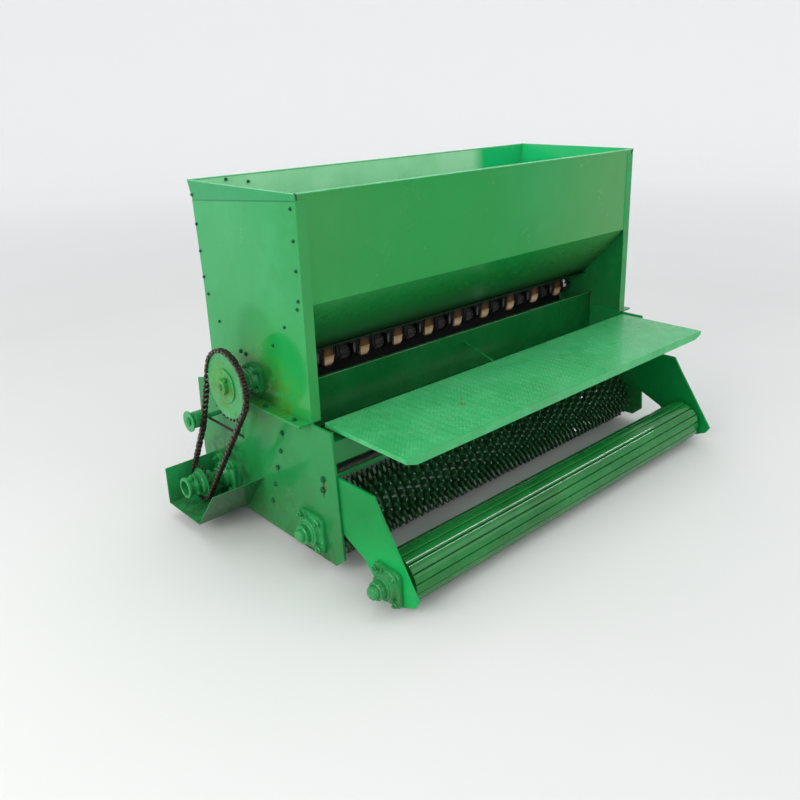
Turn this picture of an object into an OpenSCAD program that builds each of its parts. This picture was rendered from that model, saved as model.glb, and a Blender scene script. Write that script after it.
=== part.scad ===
// Grass seeder: a sheet-metal seed box over a row of metering units, carried by
// two side plates on a front drive roller, a toothed press roller and a ribbed
// rear roller. A roller chain on the left takes the front roller's turning up to
// the metering shaft. X is to the right across the machine, Y is forward, the
// way it travels, and Z is up from the ground. Millimetres.

/* [Seed box] */
// Width over the end plates and side plates
work_w = 2000; // [1960:10:2040]
// Length of the box from its rear wall to its front wall
box_d = 690; // [680:2:700]
// Height of the rim above the ground
rim_z = 1412; // [1400:2:1440]
// Height of the end plates' foot above the ground
foot_z = 590; // [590:1:592]
// Sheet thickness of the end plates
end_t = 4; // [3:1:5]
// Sheet thickness of the front and rear walls
wall_t = 3; // [2:1:4]
// Width of the flange folded in along the end plates' edges
flange_w = 42; // [36:1:48]
// Width of the foot folded out at the bottom of each end plate
foot_w = 56; // [50:1:60]
// Lean of the strip above the fold, from upright
flare = 8; // [5:1:12]
// Height where the rear wall turns inward
rear_fold_z = 1021; // [1000:1:1040]
// Height where the front wall turns inward
front_fold_z = 985; // [970:1:1000]
// How far the front wall leans forward at the rim
front_lean = 24; // [18:1:26]

/* [Metering] */
// Number of metering units
units = 10; // [10]
// Distance between units
unit_pitch = 190; // [188:1:192]
// Place of the metering shaft behind the box's rear wall line, forward
meter_y = 359; // [357:1:361]
// Height of the metering shaft
meter_z = 677; // [675:1:679]
// Diameter of the metering shaft
meter_shaft_d = 25; // [25]

/* [Chain drive] */
// Chain pitch
chain_pitch = 25.4; // [25.4]
// Teeth on the metering shaft's sprocket
big_teeth = 34; // [34]
// Teeth on the drive shaft's sprocket
small_teeth = 18; // [18]
// Distance of the chain's middle from the machine's middle
chain_x = 1128; // [1126:1:1130]
// Half height of the chain's link plates
link_h = 9; // [8:1:10]
// Place of the chain idler, forward
idler_y = 627; // [625:1:629]
// Height of the chain idler
idler_z = 461; // [459:1:463]

/* [Rollers] */
// Place of the front drive roller's axle, forward
front_y = 662; // [660:1:664]
// Radius of the front drive roller
front_r = 158; // [157:1:159]
// Place of the toothed roller's axle, forward
tooth_y = 33; // [31:1:35]
// Radius of the toothed roller over its teeth
tooth_r = 140; // [138:1:142]
// Number of toothed rings
rings = 46; // [44:1:46]
// Distance between toothed rings
ring_pitch = 41.5; // [41:0.5:41.5]
// Place of the rear roller's axle, backward from the box's rear wall
rear_y = 390; // [388:1:392]
// Radius of the rear roller over its bars
rear_r = 99; // [98:1:100]
// Half length of the rollers' drums
roller_hl = 954; // [950:1:956]
// Diameter of the roller shafts
shaft_d = 50; // [50]
// Distance of the roller shafts' ends from the machine's middle
shaft_end_x = 1080; // [1078:1:1084]

/* [Frame] */
// Thickness of the side plates and arms
plate_t = 10; // [8:1:10]
// Top of the footboard
board_z = 584; // [582:1:586]
// Reach of the footboard behind the rear wall
board_reach = 458; // [450:1:462]
// Half width of the footboard
board_hw = 956; // [950:1:960]
// Distance of the chain tray's outer edge from the machine's middle
tray_x = 1235; // [1230:1:1240]
// Distance between the faces of the two lower hitch plates
hitch_w = 825; // [825]
// Height of the lower hitch pins
hitch_z = 440; // [438:1:442]
// Height of the top link hole over the lower pins
mast_h = 610; // [600:1:612]

/* [Hidden] */
$fn = 64;
hw = work_w / 2;
front_end = 985;          // front of the lower hitch plates
rear_end = 535;           // rear corner of the arms
ox = (tray_x - shaft_end_x) / 2;
oy = (rear_end - front_end) / 2;
front_z = front_r;
tooth_z = tooth_r;
rear_z = rear_r;
slack = 0.05;             // radial clearance of a running bore
fold_rear = rim_z - 25;   // height of the end plate's fold at the rear
fold_front = rim_z - 80;  // and at the front
fold_y = box_d + front_lean * (fold_front - front_fold_z) / (rim_z - front_fold_z);
flange_top = fold_front - 5;
flange_y = box_d + front_lean * (flange_top - front_fold_z) / (rim_z - front_fold_z);
big_r = chain_pitch / (2 * sin(180 / big_teeth));
small_r = chain_pitch / (2 * sin(180 / small_teeth));
idler_r = 34.5;
idler_line = idler_r + 0.6 + link_h;

// moves the machine so that the middle of its base is the origin
module at() { translate([ox, oy, 0]) children(); }
// a plate in the YZ plane whose left face is at x0
module slab(x0, t) { translate([x0, 0, 0]) rotate([90, 0, 90]) linear_extrude(height = t) children(); }
// a round bar along X
module bar_x(x0, x1, y, z, d) { translate([x0, y, z]) rotate([0, 90, 0]) cylinder(h = x1 - x0, d = d); }
module right_side() { mirror([1, 0, 0]) children(); }
module both() { children(); right_side() children(); }

// folded sheet of thickness t on the left of an open line of points
function unit(v) = v / norm(v);
function leftward(v) = [-v[1], v[0]];
function corner(p, i, t) = let (n = len(p),
    a = unit(i == 0 ? p[1] - p[0] : p[i] - p[i - 1]),
    b = i == n - 1 ? a : unit(p[i + 1] - p[i]),
    m = leftward(a) + leftward(b)) p[i] + t * m / (m * leftward(a));
function folded(p, t) = concat(p, [for (i = [len(p) - 1:-1:0]) corner(p, i, t)]);

// points on a circle from angle a0 to a1
function arc(c, r, a0, a1, n) = [for (i = [0:n]) let (a = a0 + (a1 - a0) * i / n) [c[0] + r * cos(a), c[1] + r * sin(a)]];
function heading(v) = atan2(v[1], v[0]);
// direction of the normal of the line that touches circles at c1 and c2 on the side s,
// with k = -1 where the line crosses between the circles
function touch(c1, r1, c2, r2, s, k) = let (d = c2 - c1) heading(d) + s * acos((r1 - k * r2) / norm(d));
// closed line round both sprockets and behind the idler, h outside the chain's middle
function loop(h) = let (b = [meter_y, meter_z], s = [front_y, front_z], i = [idler_y, idler_z],
        rb = big_r + h, rs = small_r + h, ri = idler_line - h,
        t1 = touch(b, rb, i, ri, 1, -1), t2 = touch(i, ri, s, rs, -1, -1), t3 = touch(b, rb, s, rs, -1, 1))
    concat(arc(b, rb, t1, t3 + 360, 40),
        arc(s, rs, t3 + 360, t2 + 540, 20),
        arc(i, ri, t2 + 360, t1 + 180, 4));

// sprocket blank with teeth: root, flank and tip points repeat round the circle
module sprocket_2d(n, r) {
    polygon([for (k = [0:n - 1]) each let (a = 360 / n) [
        for (p = [[-0.22, -7.6], [-0.10, 5.4], [0.10, 5.4], [0.22, -7.6]])
            [(r + p[1]) * cos(a * (k + p[0])), (r + p[1]) * sin(a * (k + p[0]))]]]);
}

// four-bolt flanged bearing with a stepped hub, on the left of a wall, bore along X
module bearing(xw, y, z, d, size, reach) {
    difference() {
        union() {
            translate([xw - 14, y - size / 2, z - size / 2]) cube([14, size, size]);
            bar_x(xw - 38, xw - 13, y, z, size * 0.76);
            bar_x(xw - reach, xw - 37, y, z, size * 0.5);
        }
        bar_x(xw - reach - 1, xw + 1, y, z, d + 2 * slack);
    }
}

// ---------- seed box

module end_plate() {
    tilt = atan((fold_front - fold_rear) / fold_y);
    run = norm([fold_y, fold_front - fold_rear]);
    difference() {
        union() {
            slab(-hw, end_t) polygon([[0, foot_z], [box_d, foot_z], [box_d, front_fold_z], [fold_y, fold_front], [0, fold_rear]]);
            translate([-hw, 0, fold_rear - 0.5]) rotate([tilt, 0, 0]) rotate([0, -flare, 0])
                slab(0, end_t) polygon([[2, -3], [run - 4, -3], [run - 2, 80.5 / cos(flare)], [-2, 25.5 / cos(flare)]]);
            translate([-hw, 0, foot_z]) cube([flange_w, end_t, fold_rear - foot_z]);
            slab(-hw, flange_w) polygon([[box_d - end_t, foot_z], [box_d, foot_z], [box_d, front_fold_z], [flange_y, flange_top],
                [flange_y - end_t, flange_top], [box_d - end_t, front_fold_z]]);
            translate([-hw - foot_w, 0, foot_z]) cube([foot_w + end_t, box_d, end_t]);
        }
        bar_x(-hw - 1, -hw + end_t + 1, meter_y, meter_z, 44);
    }
}
module end_plate_left() color("forestgreen") at() end_plate();
module end_plate_right() color("forestgreen") at() right_side() end_plate();

module hopper_rear_wall() color("forestgreen") at()
    slab(-hw + end_t, work_w - 2 * end_t)
        polygon(folded([[end_t, rim_z], [end_t, rear_fold_z], [262, 760]], wall_t));

// front wall, with a wedge at each end that closes the corner under the flared strip
module hopper_front_wall() color("forestgreen") at() {
    slab(-hw + end_t, work_w - 2 * end_t)
        polygon(folded([[440, 760], [box_d - end_t, front_fold_z], [box_d - end_t + front_lean, rim_z]], wall_t));
    both() translate([0, box_d - end_t + front_lean - 0.5, rim_z - 0.5])
        rotate([90 - atan(front_lean / (rim_z - front_fold_z)), 0, 0]) linear_extrude(height = wall_t - 1)
            polygon([[-hw + end_t + 4, -76], [-hw + end_t + 4, 0], [-hw + end_t + 0.8 - 78 * tan(flare), 0], [-hw + end_t - 0.2, -76]]);
}

// floor with one outlet over each metering unit
module hopper_floor() color("forestgreen") at() difference() {
    translate([-hw + end_t, 248, 756]) cube([work_w - 2 * end_t, 206, 4]);
    for (i = [0:units - 1]) translate([(i - (units - 1) / 2) * unit_pitch + 29 - 35, meter_y - 40, 750]) cube([70, 80, 20]);
}

module front_sill() color("forestgreen") at()
    slab(-hw + end_t, work_w - 2 * end_t)
        polygon([[636, foot_z + 4], [686, foot_z + 4], [686, foot_z + 54], [682, foot_z + 54], [682, foot_z + 8], [636, foot_z + 8]]);

module seed_guard_panel() color("darkgreen") at()
    slab(-hw + plate_t, work_w - 2 * plate_t)
        polygon([[204, 470], [207, 470], [207, 657], [222, 657], [222, 660], [204, 660]]);

module stay_rod() color("forestgreen") at() {
    a = [15, 204, 607];
    b = [-52, -27, 590];
    v = b - a;
    difference() {
        translate(a) rotate([0, acos(v[2] / norm(v)), atan2(v[1], v[0])]) cylinder(h = norm(v), d = 9);
        translate([-100, 204, 500]) cube([200, 40, 200]);
    }
}

// ---------- metering

module metering_housings() color("dimgray") at() for (i = [0:units - 1]) {
    x = (i - (units - 1) / 2) * unit_pitch - 95;
    difference() {
        union() {
            translate([x + 2, meter_y - 42, 716]) cube([186, 84, 40]);
            translate([x + 22, meter_y - 42, meter_z + 10]) cube([126, 84, 740 - meter_z - 10]);
            bar_x(x + 22, x + 148, meter_y, meter_z, 84);
        }
        bar_x(x, x + 200, meter_y, meter_z, meter_shaft_d + 3);
        translate([x + 57, meter_y - 60, meter_z - 60]) cube([56, 120, 92]);
    }
}

// fluted feed rolls on the metering shaft, one beside each housing
module feed_rolls() color("gray") at() for (i = [0:units - 1]) {
    x = (i - (units - 1) / 2) * unit_pitch - 95;
    difference() {
        slab(x + 156, 48) translate([meter_y, meter_z])
            polygon([for (k = [0:11]) each [for (p = [[-0.30, 25], [-0.20, 32], [0.20, 32], [0.30, 25]])
                [p[1] * cos(30 * (k + p[0])), p[1] * sin(30 * (k + p[0]))]]]);
        bar_x(x + 150, x + 210, meter_y, meter_z, meter_shaft_d);
    }
}

// black plate in front of the metering row that keeps the wind off the falling seed
module wind_guard() color("dimgray") at()
    translate([-hw + plate_t + 2, meter_y + 47, 556]) cube([work_w - 2 * plate_t - 4, 3, 200]);

module metering_cups() color("wheat") at() for (i = [0:units - 1]) {
    x = (i - (units - 1) / 2) * unit_pitch - 95;
    difference() {
        translate([x + 59, meter_y - 46, meter_z - 30]) cube([52, 92, 58]);
        bar_x(x + 50, x + 120, meter_y, meter_z, meter_shaft_d + 3);
    }
}

module metering_bearings() color("forestgreen") at() both() bearing(-hw, meter_y, meter_z, meter_shaft_d, 108, 56);

module metering_shaft() color("silver") at() bar_x(-chain_x - 34, hw + 62, meter_y, meter_z, meter_shaft_d);

module metering_sprocket() color("limegreen") at() difference() {
    union() {
        slab(-chain_x - 4, 8) translate([meter_y, meter_z]) rotate(heading([front_y - meter_y, front_z - meter_z]))
            sprocket_2d(big_teeth, big_r);
        bar_x(-chain_x - 26, -chain_x + 36, meter_y, meter_z, 62);
    }
    bar_x(-chain_x - 30, -chain_x + 44, meter_y, meter_z, meter_shaft_d);
}

// ---------- chain drive

module drive_sprocket() color("limegreen") at() difference() {
    union() {
        slab(-chain_x - 4, 8) translate([front_y, front_z]) rotate(heading([front_y - meter_y, front_z - meter_z]))
            sprocket_2d(small_teeth, small_r);
        bar_x(-chain_x - 22, -chain_x + 40, front_y, front_z, 80);
    }
    bar_x(-chain_x - 30, -chain_x + 44, front_y, front_z, shaft_d);
}

module drive_sleeve() color("forestgreen") at() difference() {
    union() {
        bar_x(-1206, -1196, front_y, front_z, 88);
        bar_x(-1197, -chain_x - 22, front_y, front_z, 78);
    }
    bar_x(-1207, -1166, front_y, front_z, 64);
    bar_x(-1167, -chain_x - 20, front_y, front_z, shaft_d);
}

// two rows of link plates; the sprockets' teeth run between them
module drive_chain() color("dimgray") at() for (x = [-chain_x - 11, -chain_x + 7])
    difference() {
        slab(x, 4) polygon(loop(link_h));
        slab(x - 1, 6) polygon(loop(-link_h));
    }

module chain_idler() color("forestgreen") at() translate([-chain_x, idler_y, idler_z]) rotate([0, -90, 0]) difference() {
    rotate_extrude() polygon([[0, -22], [idler_r, -22], [idler_r, 20], [30, 26], [44, 38], [44, 43], [0, 43]]);
    translate([0, 0, -30]) cylinder(h = 80, d = 20 + 2 * slack);
}

module idler_stud() color("forestgreen") at() {
    bar_x(-1180, -hw, idler_y, idler_z, 20);
    difference() {
        bar_x(-hw - 24, -hw, idler_y, idler_z, 44);
        bar_x(-hw - 25, -hw + 1, idler_y, idler_z, 20);
    }
}

module idler_rod() color("dimgray") at() {
    a = [-1082, 621, 453];
    b = [-995, 493, 372];
    v = b - a;
    difference() {
        translate(a) rotate([0, acos(v[2] / norm(v)), atan2(v[1], v[0])]) cylinder(h = norm(v), d = 10);
        bar_x(-1200, -hw, idler_y, idler_z, 20);
        translate([-hw, 400, 300]) cube([40, 200, 200]);
    }
}

module chain_tray() color("forestgreen") at()
    slab(-tray_x, tray_x - hw)
        polygon(folded([[366, 238], [512, 58], [771, 58], [771, 222]], 3));

// ---------- frame

module side_plate() difference() {
    union() {
        slab(-hw, plate_t) polygon([[-114, 584], [0, 584], [0, foot_z], [700, foot_z], [845, 552], [858, 230], [850, 70],
            [800, 36], [-95, 36], [-146, 80]]);
        translate([-hw - foot_w, 0, foot_z - 6]) cube([foot_w + plate_t, box_d, 6]);
    }
    bar_x(-hw - 1, -hw + plate_t + 1, tooth_y, tooth_z, 70);
    bar_x(-hw - 1, -hw + plate_t + 1, front_y, front_z, 70);
}
module side_plate_left() color("forestgreen") at() side_plate();
module side_plate_right() color("forestgreen") at() right_side() side_plate();

module rear_crossbeam() color("forestgreen") at()
    translate([-hw + plate_t, -100, 450]) cube([work_w - 2 * plate_t, 70, 90]);

module front_crossbeam() color("forestgreen") at()
    translate([-hw + plate_t, 740, 430]) cube([work_w - 2 * plate_t, 100, 100]);

module scraper_bar() color("forestgreen") at()
    translate([-hw + 2 * plate_t, -66, 372]) cube([work_w - 4 * plate_t, 12, 18]);

// folded down low at its ends and deeper along the back, with sloping corners
module footboard() color("mediumseagreen") at() {
    difference() {
        translate([-board_hw, -board_reach, board_z - 18]) cube([2 * board_hw, board_reach - 20, 18]);
        translate([-board_hw + 3, -board_reach + 3, board_z - 19]) cube([2 * board_hw - 6, board_reach, 16]);
    }
    translate([0, -board_reach + 3, board_z]) rotate([90, 0, 0]) linear_extrude(height = 3)
        polygon([[-board_hw, -3], [board_hw, -3], [board_hw, -18], [board_hw - 50, -34], [50 - board_hw, -34], [-board_hw, -18]]);
}

module footboard_gussets() color("forestgreen") at() for (x = [-700, -235, 235, 700])
    slab(x - 3, 6) polygon([[-100, 480], [-100, 540], [-30, 540], [-30, board_z - 3], [-440, board_z - 3], [-440, board_z - 22]]);

module arm() difference() {
    slab(-hw + plate_t, plate_t) polygon([[20, 411], [-319, 411], [-362, 344], [-535, 89], [-515, 59], [-429, 20], [-350, 30],
        [-257, 132], [-118, 194], [-60, 300], [20, 330]]);
    bar_x(-hw + plate_t - 1, -hw + 2 * plate_t + 1, -rear_y, rear_z, 70);
}
module arm_left() color("forestgreen") at() arm();
module arm_right() color("forestgreen") at() right_side() arm();

// ---------- rollers

module toothed_roller_tube() color("darkgreen") at() difference() {
    bar_x(-roller_hl, roller_hl, tooth_y, tooth_z, 200);
    bar_x(-roller_hl - 1, roller_hl + 1, tooth_y, tooth_z, shaft_d);
}

module toothed_rings() color("darkgreen") at() for (i = [0:rings - 1]) {
    x = (i - (rings - 1) / 2) * ring_pitch;
    difference() {
        bar_x(x - 7, x + 7, tooth_y, tooth_z, 2 * tooth_r);
        bar_x(x - 8, x + 8, tooth_y, tooth_z, 200);
    }
}

module ribbed_drum(y, z, r, depth) difference() {
    bar_x(-roller_hl, roller_hl, y, z, 2 * (r - depth));
    bar_x(-roller_hl - 1, roller_hl + 1, y, z, shaft_d);
    both() difference() {
        bar_x(-roller_hl - 1, -roller_hl + 16, y, z, 2 * (r - depth) - 16);
        bar_x(-roller_hl - 2, -roller_hl + 17, y, z, shaft_d + 20);
    }
}

// flat bars along the drum, one of them flat on the ground
module drum_bars(y, z, r, depth, count, width) difference() {
    for (k = [0:count - 1]) translate([0, y, z]) rotate([360 * k / count, 0, 0])
        translate([-roller_hl, -width / 2, -r]) cube([2 * roller_hl, width, depth + 4]);
    bar_x(-roller_hl - 1, roller_hl + 1, y, z, 2 * (r - depth));
}

module roller_shaft(y, z) bar_x(-shaft_end_x, shaft_end_x, y, z, shaft_d);

module toothed_roller_shaft() color("silver") at() roller_shaft(tooth_y, tooth_z);
module toothed_roller_bearings() color("forestgreen") at() both() bearing(-hw, tooth_y, tooth_z, shaft_d, 150, 62);
module rear_roller_drum() color("forestgreen") at() ribbed_drum(-rear_y, rear_z, rear_r, 11);
module rear_roller_bars() color("limegreen") at() drum_bars(-rear_y, rear_z, rear_r, 11, 16, 33);
module rear_roller_shaft() color("silver") at() roller_shaft(-rear_y, rear_z);
module rear_roller_bearings() color("forestgreen") at() both() bearing(-hw + plate_t, -rear_y, rear_z, shaft_d, 140, 70);
module front_roller_drum() color("forestgreen") at() ribbed_drum(front_y, front_z, front_r, 13);
module front_roller_bars() color("limegreen") at() drum_bars(front_y, front_z, front_r, 13, 20, 38);
module front_roller_shaft() color("silver") at() bar_x(-1166, shaft_end_x, front_y, front_z, shaft_d);
module front_roller_bearings() color("forestgreen") at() both() bearing(-hw, front_y, front_z, shaft_d, 150, 62);

// ---------- hitch

module hitch_mast() color("forestgreen") at() both() difference() {
    slab(-42, 12) polygon([[746, 530], [840, 530], [840, 430], [862, 430], [945, 1020], [945, 1075], [890, 1085], [746, 620]]);
    bar_x(-43, -29, 910, hitch_z + mast_h, 25.6);
}

module mast_braces() color("forestgreen") at() both()
    translate([0, 852, 0]) rotate([90, 0, 0]) linear_extrude(height = 12)
        polygon([[-42, 900], [-42, 830], [-372, 455], [-396.5, 455], [-396.5, 485]]);

module hitch_plates() color("forestgreen") at() both() slab(-hitch_w / 2, 16)
    polygon(concat([[840, 530], [840, 390]], arc([front_end - 45, hitch_z], 45, -90, 90, 12)));

module hitch_pins() color("silver") at() both() bar_x(-hitch_w / 2 - 100, -hitch_w / 2, front_end - 45, hitch_z, 28);

end_plate_left();
end_plate_right();
hopper_rear_wall();
hopper_front_wall();
hopper_floor();
front_sill();
wind_guard();
feed_rolls();
metering_housings();
metering_cups();
metering_bearings();
metering_shaft();
metering_sprocket();
seed_guard_panel();
stay_rod();
footboard();
footboard_gussets();
side_plate_left();
side_plate_right();
rear_crossbeam();
front_crossbeam();
scraper_bar();
arm_left();
arm_right();
toothed_roller_tube();
toothed_rings();
toothed_roller_shaft();
toothed_roller_bearings();
rear_roller_drum();
rear_roller_bars();
rear_roller_shaft();
rear_roller_bearings();
front_roller_drum();
front_roller_bars();
front_roller_shaft();
front_roller_bearings();
drive_sprocket();
drive_sleeve();
drive_chain();
chain_idler();
idler_stud();
idler_rod();
chain_tray();
hitch_mast();
mast_braces();
hitch_plates();
hitch_pins();
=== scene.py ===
import math, random
import bpy, bmesh
from mathutils import Vector, Matrix


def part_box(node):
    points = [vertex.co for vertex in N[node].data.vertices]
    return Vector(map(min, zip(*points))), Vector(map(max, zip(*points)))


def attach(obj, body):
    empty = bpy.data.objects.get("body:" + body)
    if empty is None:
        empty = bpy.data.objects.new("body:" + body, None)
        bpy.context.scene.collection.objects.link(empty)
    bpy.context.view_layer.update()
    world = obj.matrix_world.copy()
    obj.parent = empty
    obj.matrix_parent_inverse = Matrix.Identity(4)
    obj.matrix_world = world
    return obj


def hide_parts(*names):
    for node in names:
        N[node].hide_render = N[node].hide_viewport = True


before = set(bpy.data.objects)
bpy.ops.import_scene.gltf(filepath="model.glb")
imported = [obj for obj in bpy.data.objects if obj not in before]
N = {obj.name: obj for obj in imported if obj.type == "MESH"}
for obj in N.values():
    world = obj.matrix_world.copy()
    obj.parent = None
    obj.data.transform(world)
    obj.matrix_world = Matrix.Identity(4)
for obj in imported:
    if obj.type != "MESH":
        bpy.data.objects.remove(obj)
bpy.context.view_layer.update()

random.seed(7)

# ---------------------------------------------------------------- machine axes
# machine millimetres: x to the right from the middle, y forward from the rear wall line, z up
_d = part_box("rear_roller_drum")
OX = (_d[0].x + _d[1].x) / 2
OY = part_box("hopper_rear_wall")[0].y - 0.004


def P(x, y, z):
    return Vector((OX + x / 1000, OY + y / 1000, z / 1000))


def mm(node):
    lo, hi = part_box(node)
    return ((lo.x - OX) * 1000, (lo.y - OY) * 1000, lo.z * 1000), ((hi.x - OX) * 1000, (hi.y - OY) * 1000, hi.z * 1000)


def axle(node):
    lo, hi = mm(node)
    return (lo[1] + hi[1]) / 2, (lo[2] + hi[2]) / 2


TOOTH_Y, TOOTH_Z = axle("toothed_roller_shaft")
REAR_Y, REAR_Z = axle("rear_roller_shaft")
FRONT_Y, FRONT_Z = axle("front_roller_shaft")
METER_Y, METER_Z = axle("metering_shaft")
IDLER_Y, IDLER_Z = axle("chain_idler")
SHAFT_END = mm("toothed_roller_shaft")[1][0]
CHAIN_X = (mm("drive_chain")[0][0] + mm("drive_chain")[1][0]) / 2
HW = 1000.0
PITCH = 25.4
BIG, SMALL = 34, 18
LINK_H = 9.0

# ---------------------------------------------------------------- camera
yaw, pitch, roll = (math.radians(a) for a in (42.6985, -18.6086, -1.5610))
look = Vector((math.sin(yaw) * math.cos(pitch), math.cos(yaw) * math.cos(pitch), math.sin(pitch)))
side = Vector((math.cos(yaw), -math.sin(yaw), 0))
up = side.cross(look)
r2 = side * math.cos(roll) + up * math.sin(roll)
u2 = -side * math.sin(roll) + up * math.cos(roll)
eye = P(-2508.83, -2215.15, 1746.87)
cam = bpy.data.cameras.new("camera")
cam_ob = bpy.data.objects.new("camera", cam)
bpy.context.scene.collection.objects.link(cam_ob)
cam_ob.matrix_world = Matrix(((r2.x, u2.x, -look.x, eye.x), (r2.y, u2.y, -look.y, eye.y), (r2.z, u2.z, -look.z, eye.z), (0, 0, 0, 1)))
cam.sensor_width = 36
cam.lens = 35.92
cam.shift_x, cam.shift_y = -0.02328, -0.0613
cam.clip_start, cam.clip_end = 0.05, 200
bpy.context.scene.camera = cam_ob

# ---------------------------------------------------------------- node helpers


class Mat:
    def __init__(s, name):
        s.m = bpy.data.materials.new(name)
        s.m.use_nodes = True
        s.t = s.m.node_tree
        s.b = s.t.nodes["Principled BSDF"]
        s.tc = s.t.nodes.new("ShaderNodeTexCoord")
        s.co = s.tc.outputs["Object"]

    def node(s, kind, **kw):
        n = s.t.nodes.new(kind)
        for k, v in kw.items():
            if k.startswith("i_"):
                key = k[2:]
                key = int(key) if key.isdigit() else key.replace("_", " ")
                s.plug(v, n.inputs[key])
            else:
                setattr(n, k, v)
        return n

    def plug(s, v, sock):
        if isinstance(v, bpy.types.NodeSocket):
            s.t.links.new(v, sock)
        elif isinstance(v, (tuple, list)) and len(v) == 3 and sock.type == "RGBA":
            sock.default_value = (*v, 1)
        else:
            sock.default_value = v

    def noise(s, scale, detail=4, rough=0.55, dist=0.0, co=None, stretch=None):
        c = co or s.co
        if stretch:
            mp = s.node("ShaderNodeMapping")
            s.plug(c, mp.inputs["Vector"])
            mp.inputs["Scale"].default_value = stretch
            c = mp.outputs["Vector"]
        n = s.node("ShaderNodeTexNoise", noise_dimensions="3D")
        s.plug(c, n.inputs["Vector"])
        n.inputs["Scale"].default_value = scale
        n.inputs["Detail"].default_value = detail
        n.inputs["Roughness"].default_value = rough
        n.inputs["Distortion"].default_value = dist
        return n.outputs["Fac"]

    def ramp(s, fac, a, b, lo=0.0, hi=1.0):
        n = s.node("ShaderNodeMapRange", clamp=True)
        s.plug(fac, n.inputs["Value"])
        for k, v in zip(("From Min", "From Max", "To Min", "To Max"), (a, b, lo, hi)):
            n.inputs[k].default_value = v
        return n.outputs["Result"]

    def mix(s, fac, a, b, mode="MIX"):
        n = s.node("ShaderNodeMix", data_type="RGBA", blend_type=mode)
        s.plug(fac, n.inputs["Factor"])
        ins = [i for i in n.inputs if i.type == "RGBA"]
        s.plug(a, ins[0])
        s.plug(b, ins[1])
        return [o for o in n.outputs if o.type == "RGBA"][0]

    def math(s, op, a, b=None, c=None, clamp=False):
        n = s.node("ShaderNodeMath", operation=op, use_clamp=clamp)
        for i, v in enumerate((a, b, c)):
            if v is not None:
                s.plug(v, n.inputs[i])
        return n.outputs[0]

    def xyz(s):
        n = s.node("ShaderNodeSeparateXYZ")
        s.plug(s.co, n.inputs[0])
        return n.outputs[0], n.outputs[1], n.outputs[2]

    def bump(s, height, dist, strength=1.0, after=None):
        n = s.node("ShaderNodeBump")
        s.plug(height, n.inputs["Height"])
        n.inputs["Distance"].default_value = dist
        n.inputs["Strength"].default_value = strength
        if after is not None:
            s.plug(after, n.inputs["Normal"])
        return n.outputs["Normal"]

    def out(s, **kw):
        for k, v in kw.items():
            s.plug(v, s.b.inputs[k.replace("_", " ")])
        return s.m

    def near(s, x, y, z, r, soft):
        """1 close to a place in machine mm, 0 beyond it"""
        n = s.node("ShaderNodeVectorMath", operation="DISTANCE")
        s.plug(s.co, n.inputs[0])
        n.inputs[1].default_value = P(x, y, z)
        return s.ramp(n.outputs["Value"], r / 1000, (r + soft) / 1000, 1.0, 0.0)

    def trail_below(s, y, z, length, width):
        """1 on a dark trail below a place on an upright plate seen from the side"""
        _, yy, zz = s.xyz()
        y0, z0 = P(0, y, z).y, z / 1000
        wob = s.math("MULTIPLY", s.math("SUBTRACT", s.noise(60, 2), 0.5), 0.006)
        dy = s.math("ABSOLUTE", s.math("SUBTRACT", s.math("ADD", yy, wob), y0))
        a = s.ramp(dy, width / 2000, width / 1000, 1.0, 0.0)
        b = s.ramp(zz, z0 - length / 1000, z0 - length / 2500, 0.0, 1.0)
        c = s.ramp(zz, z0, z0 + 0.004, 1.0, 0.0)
        return s.math("MULTIPLY", s.math("MULTIPLY", a, b), c)


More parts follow.
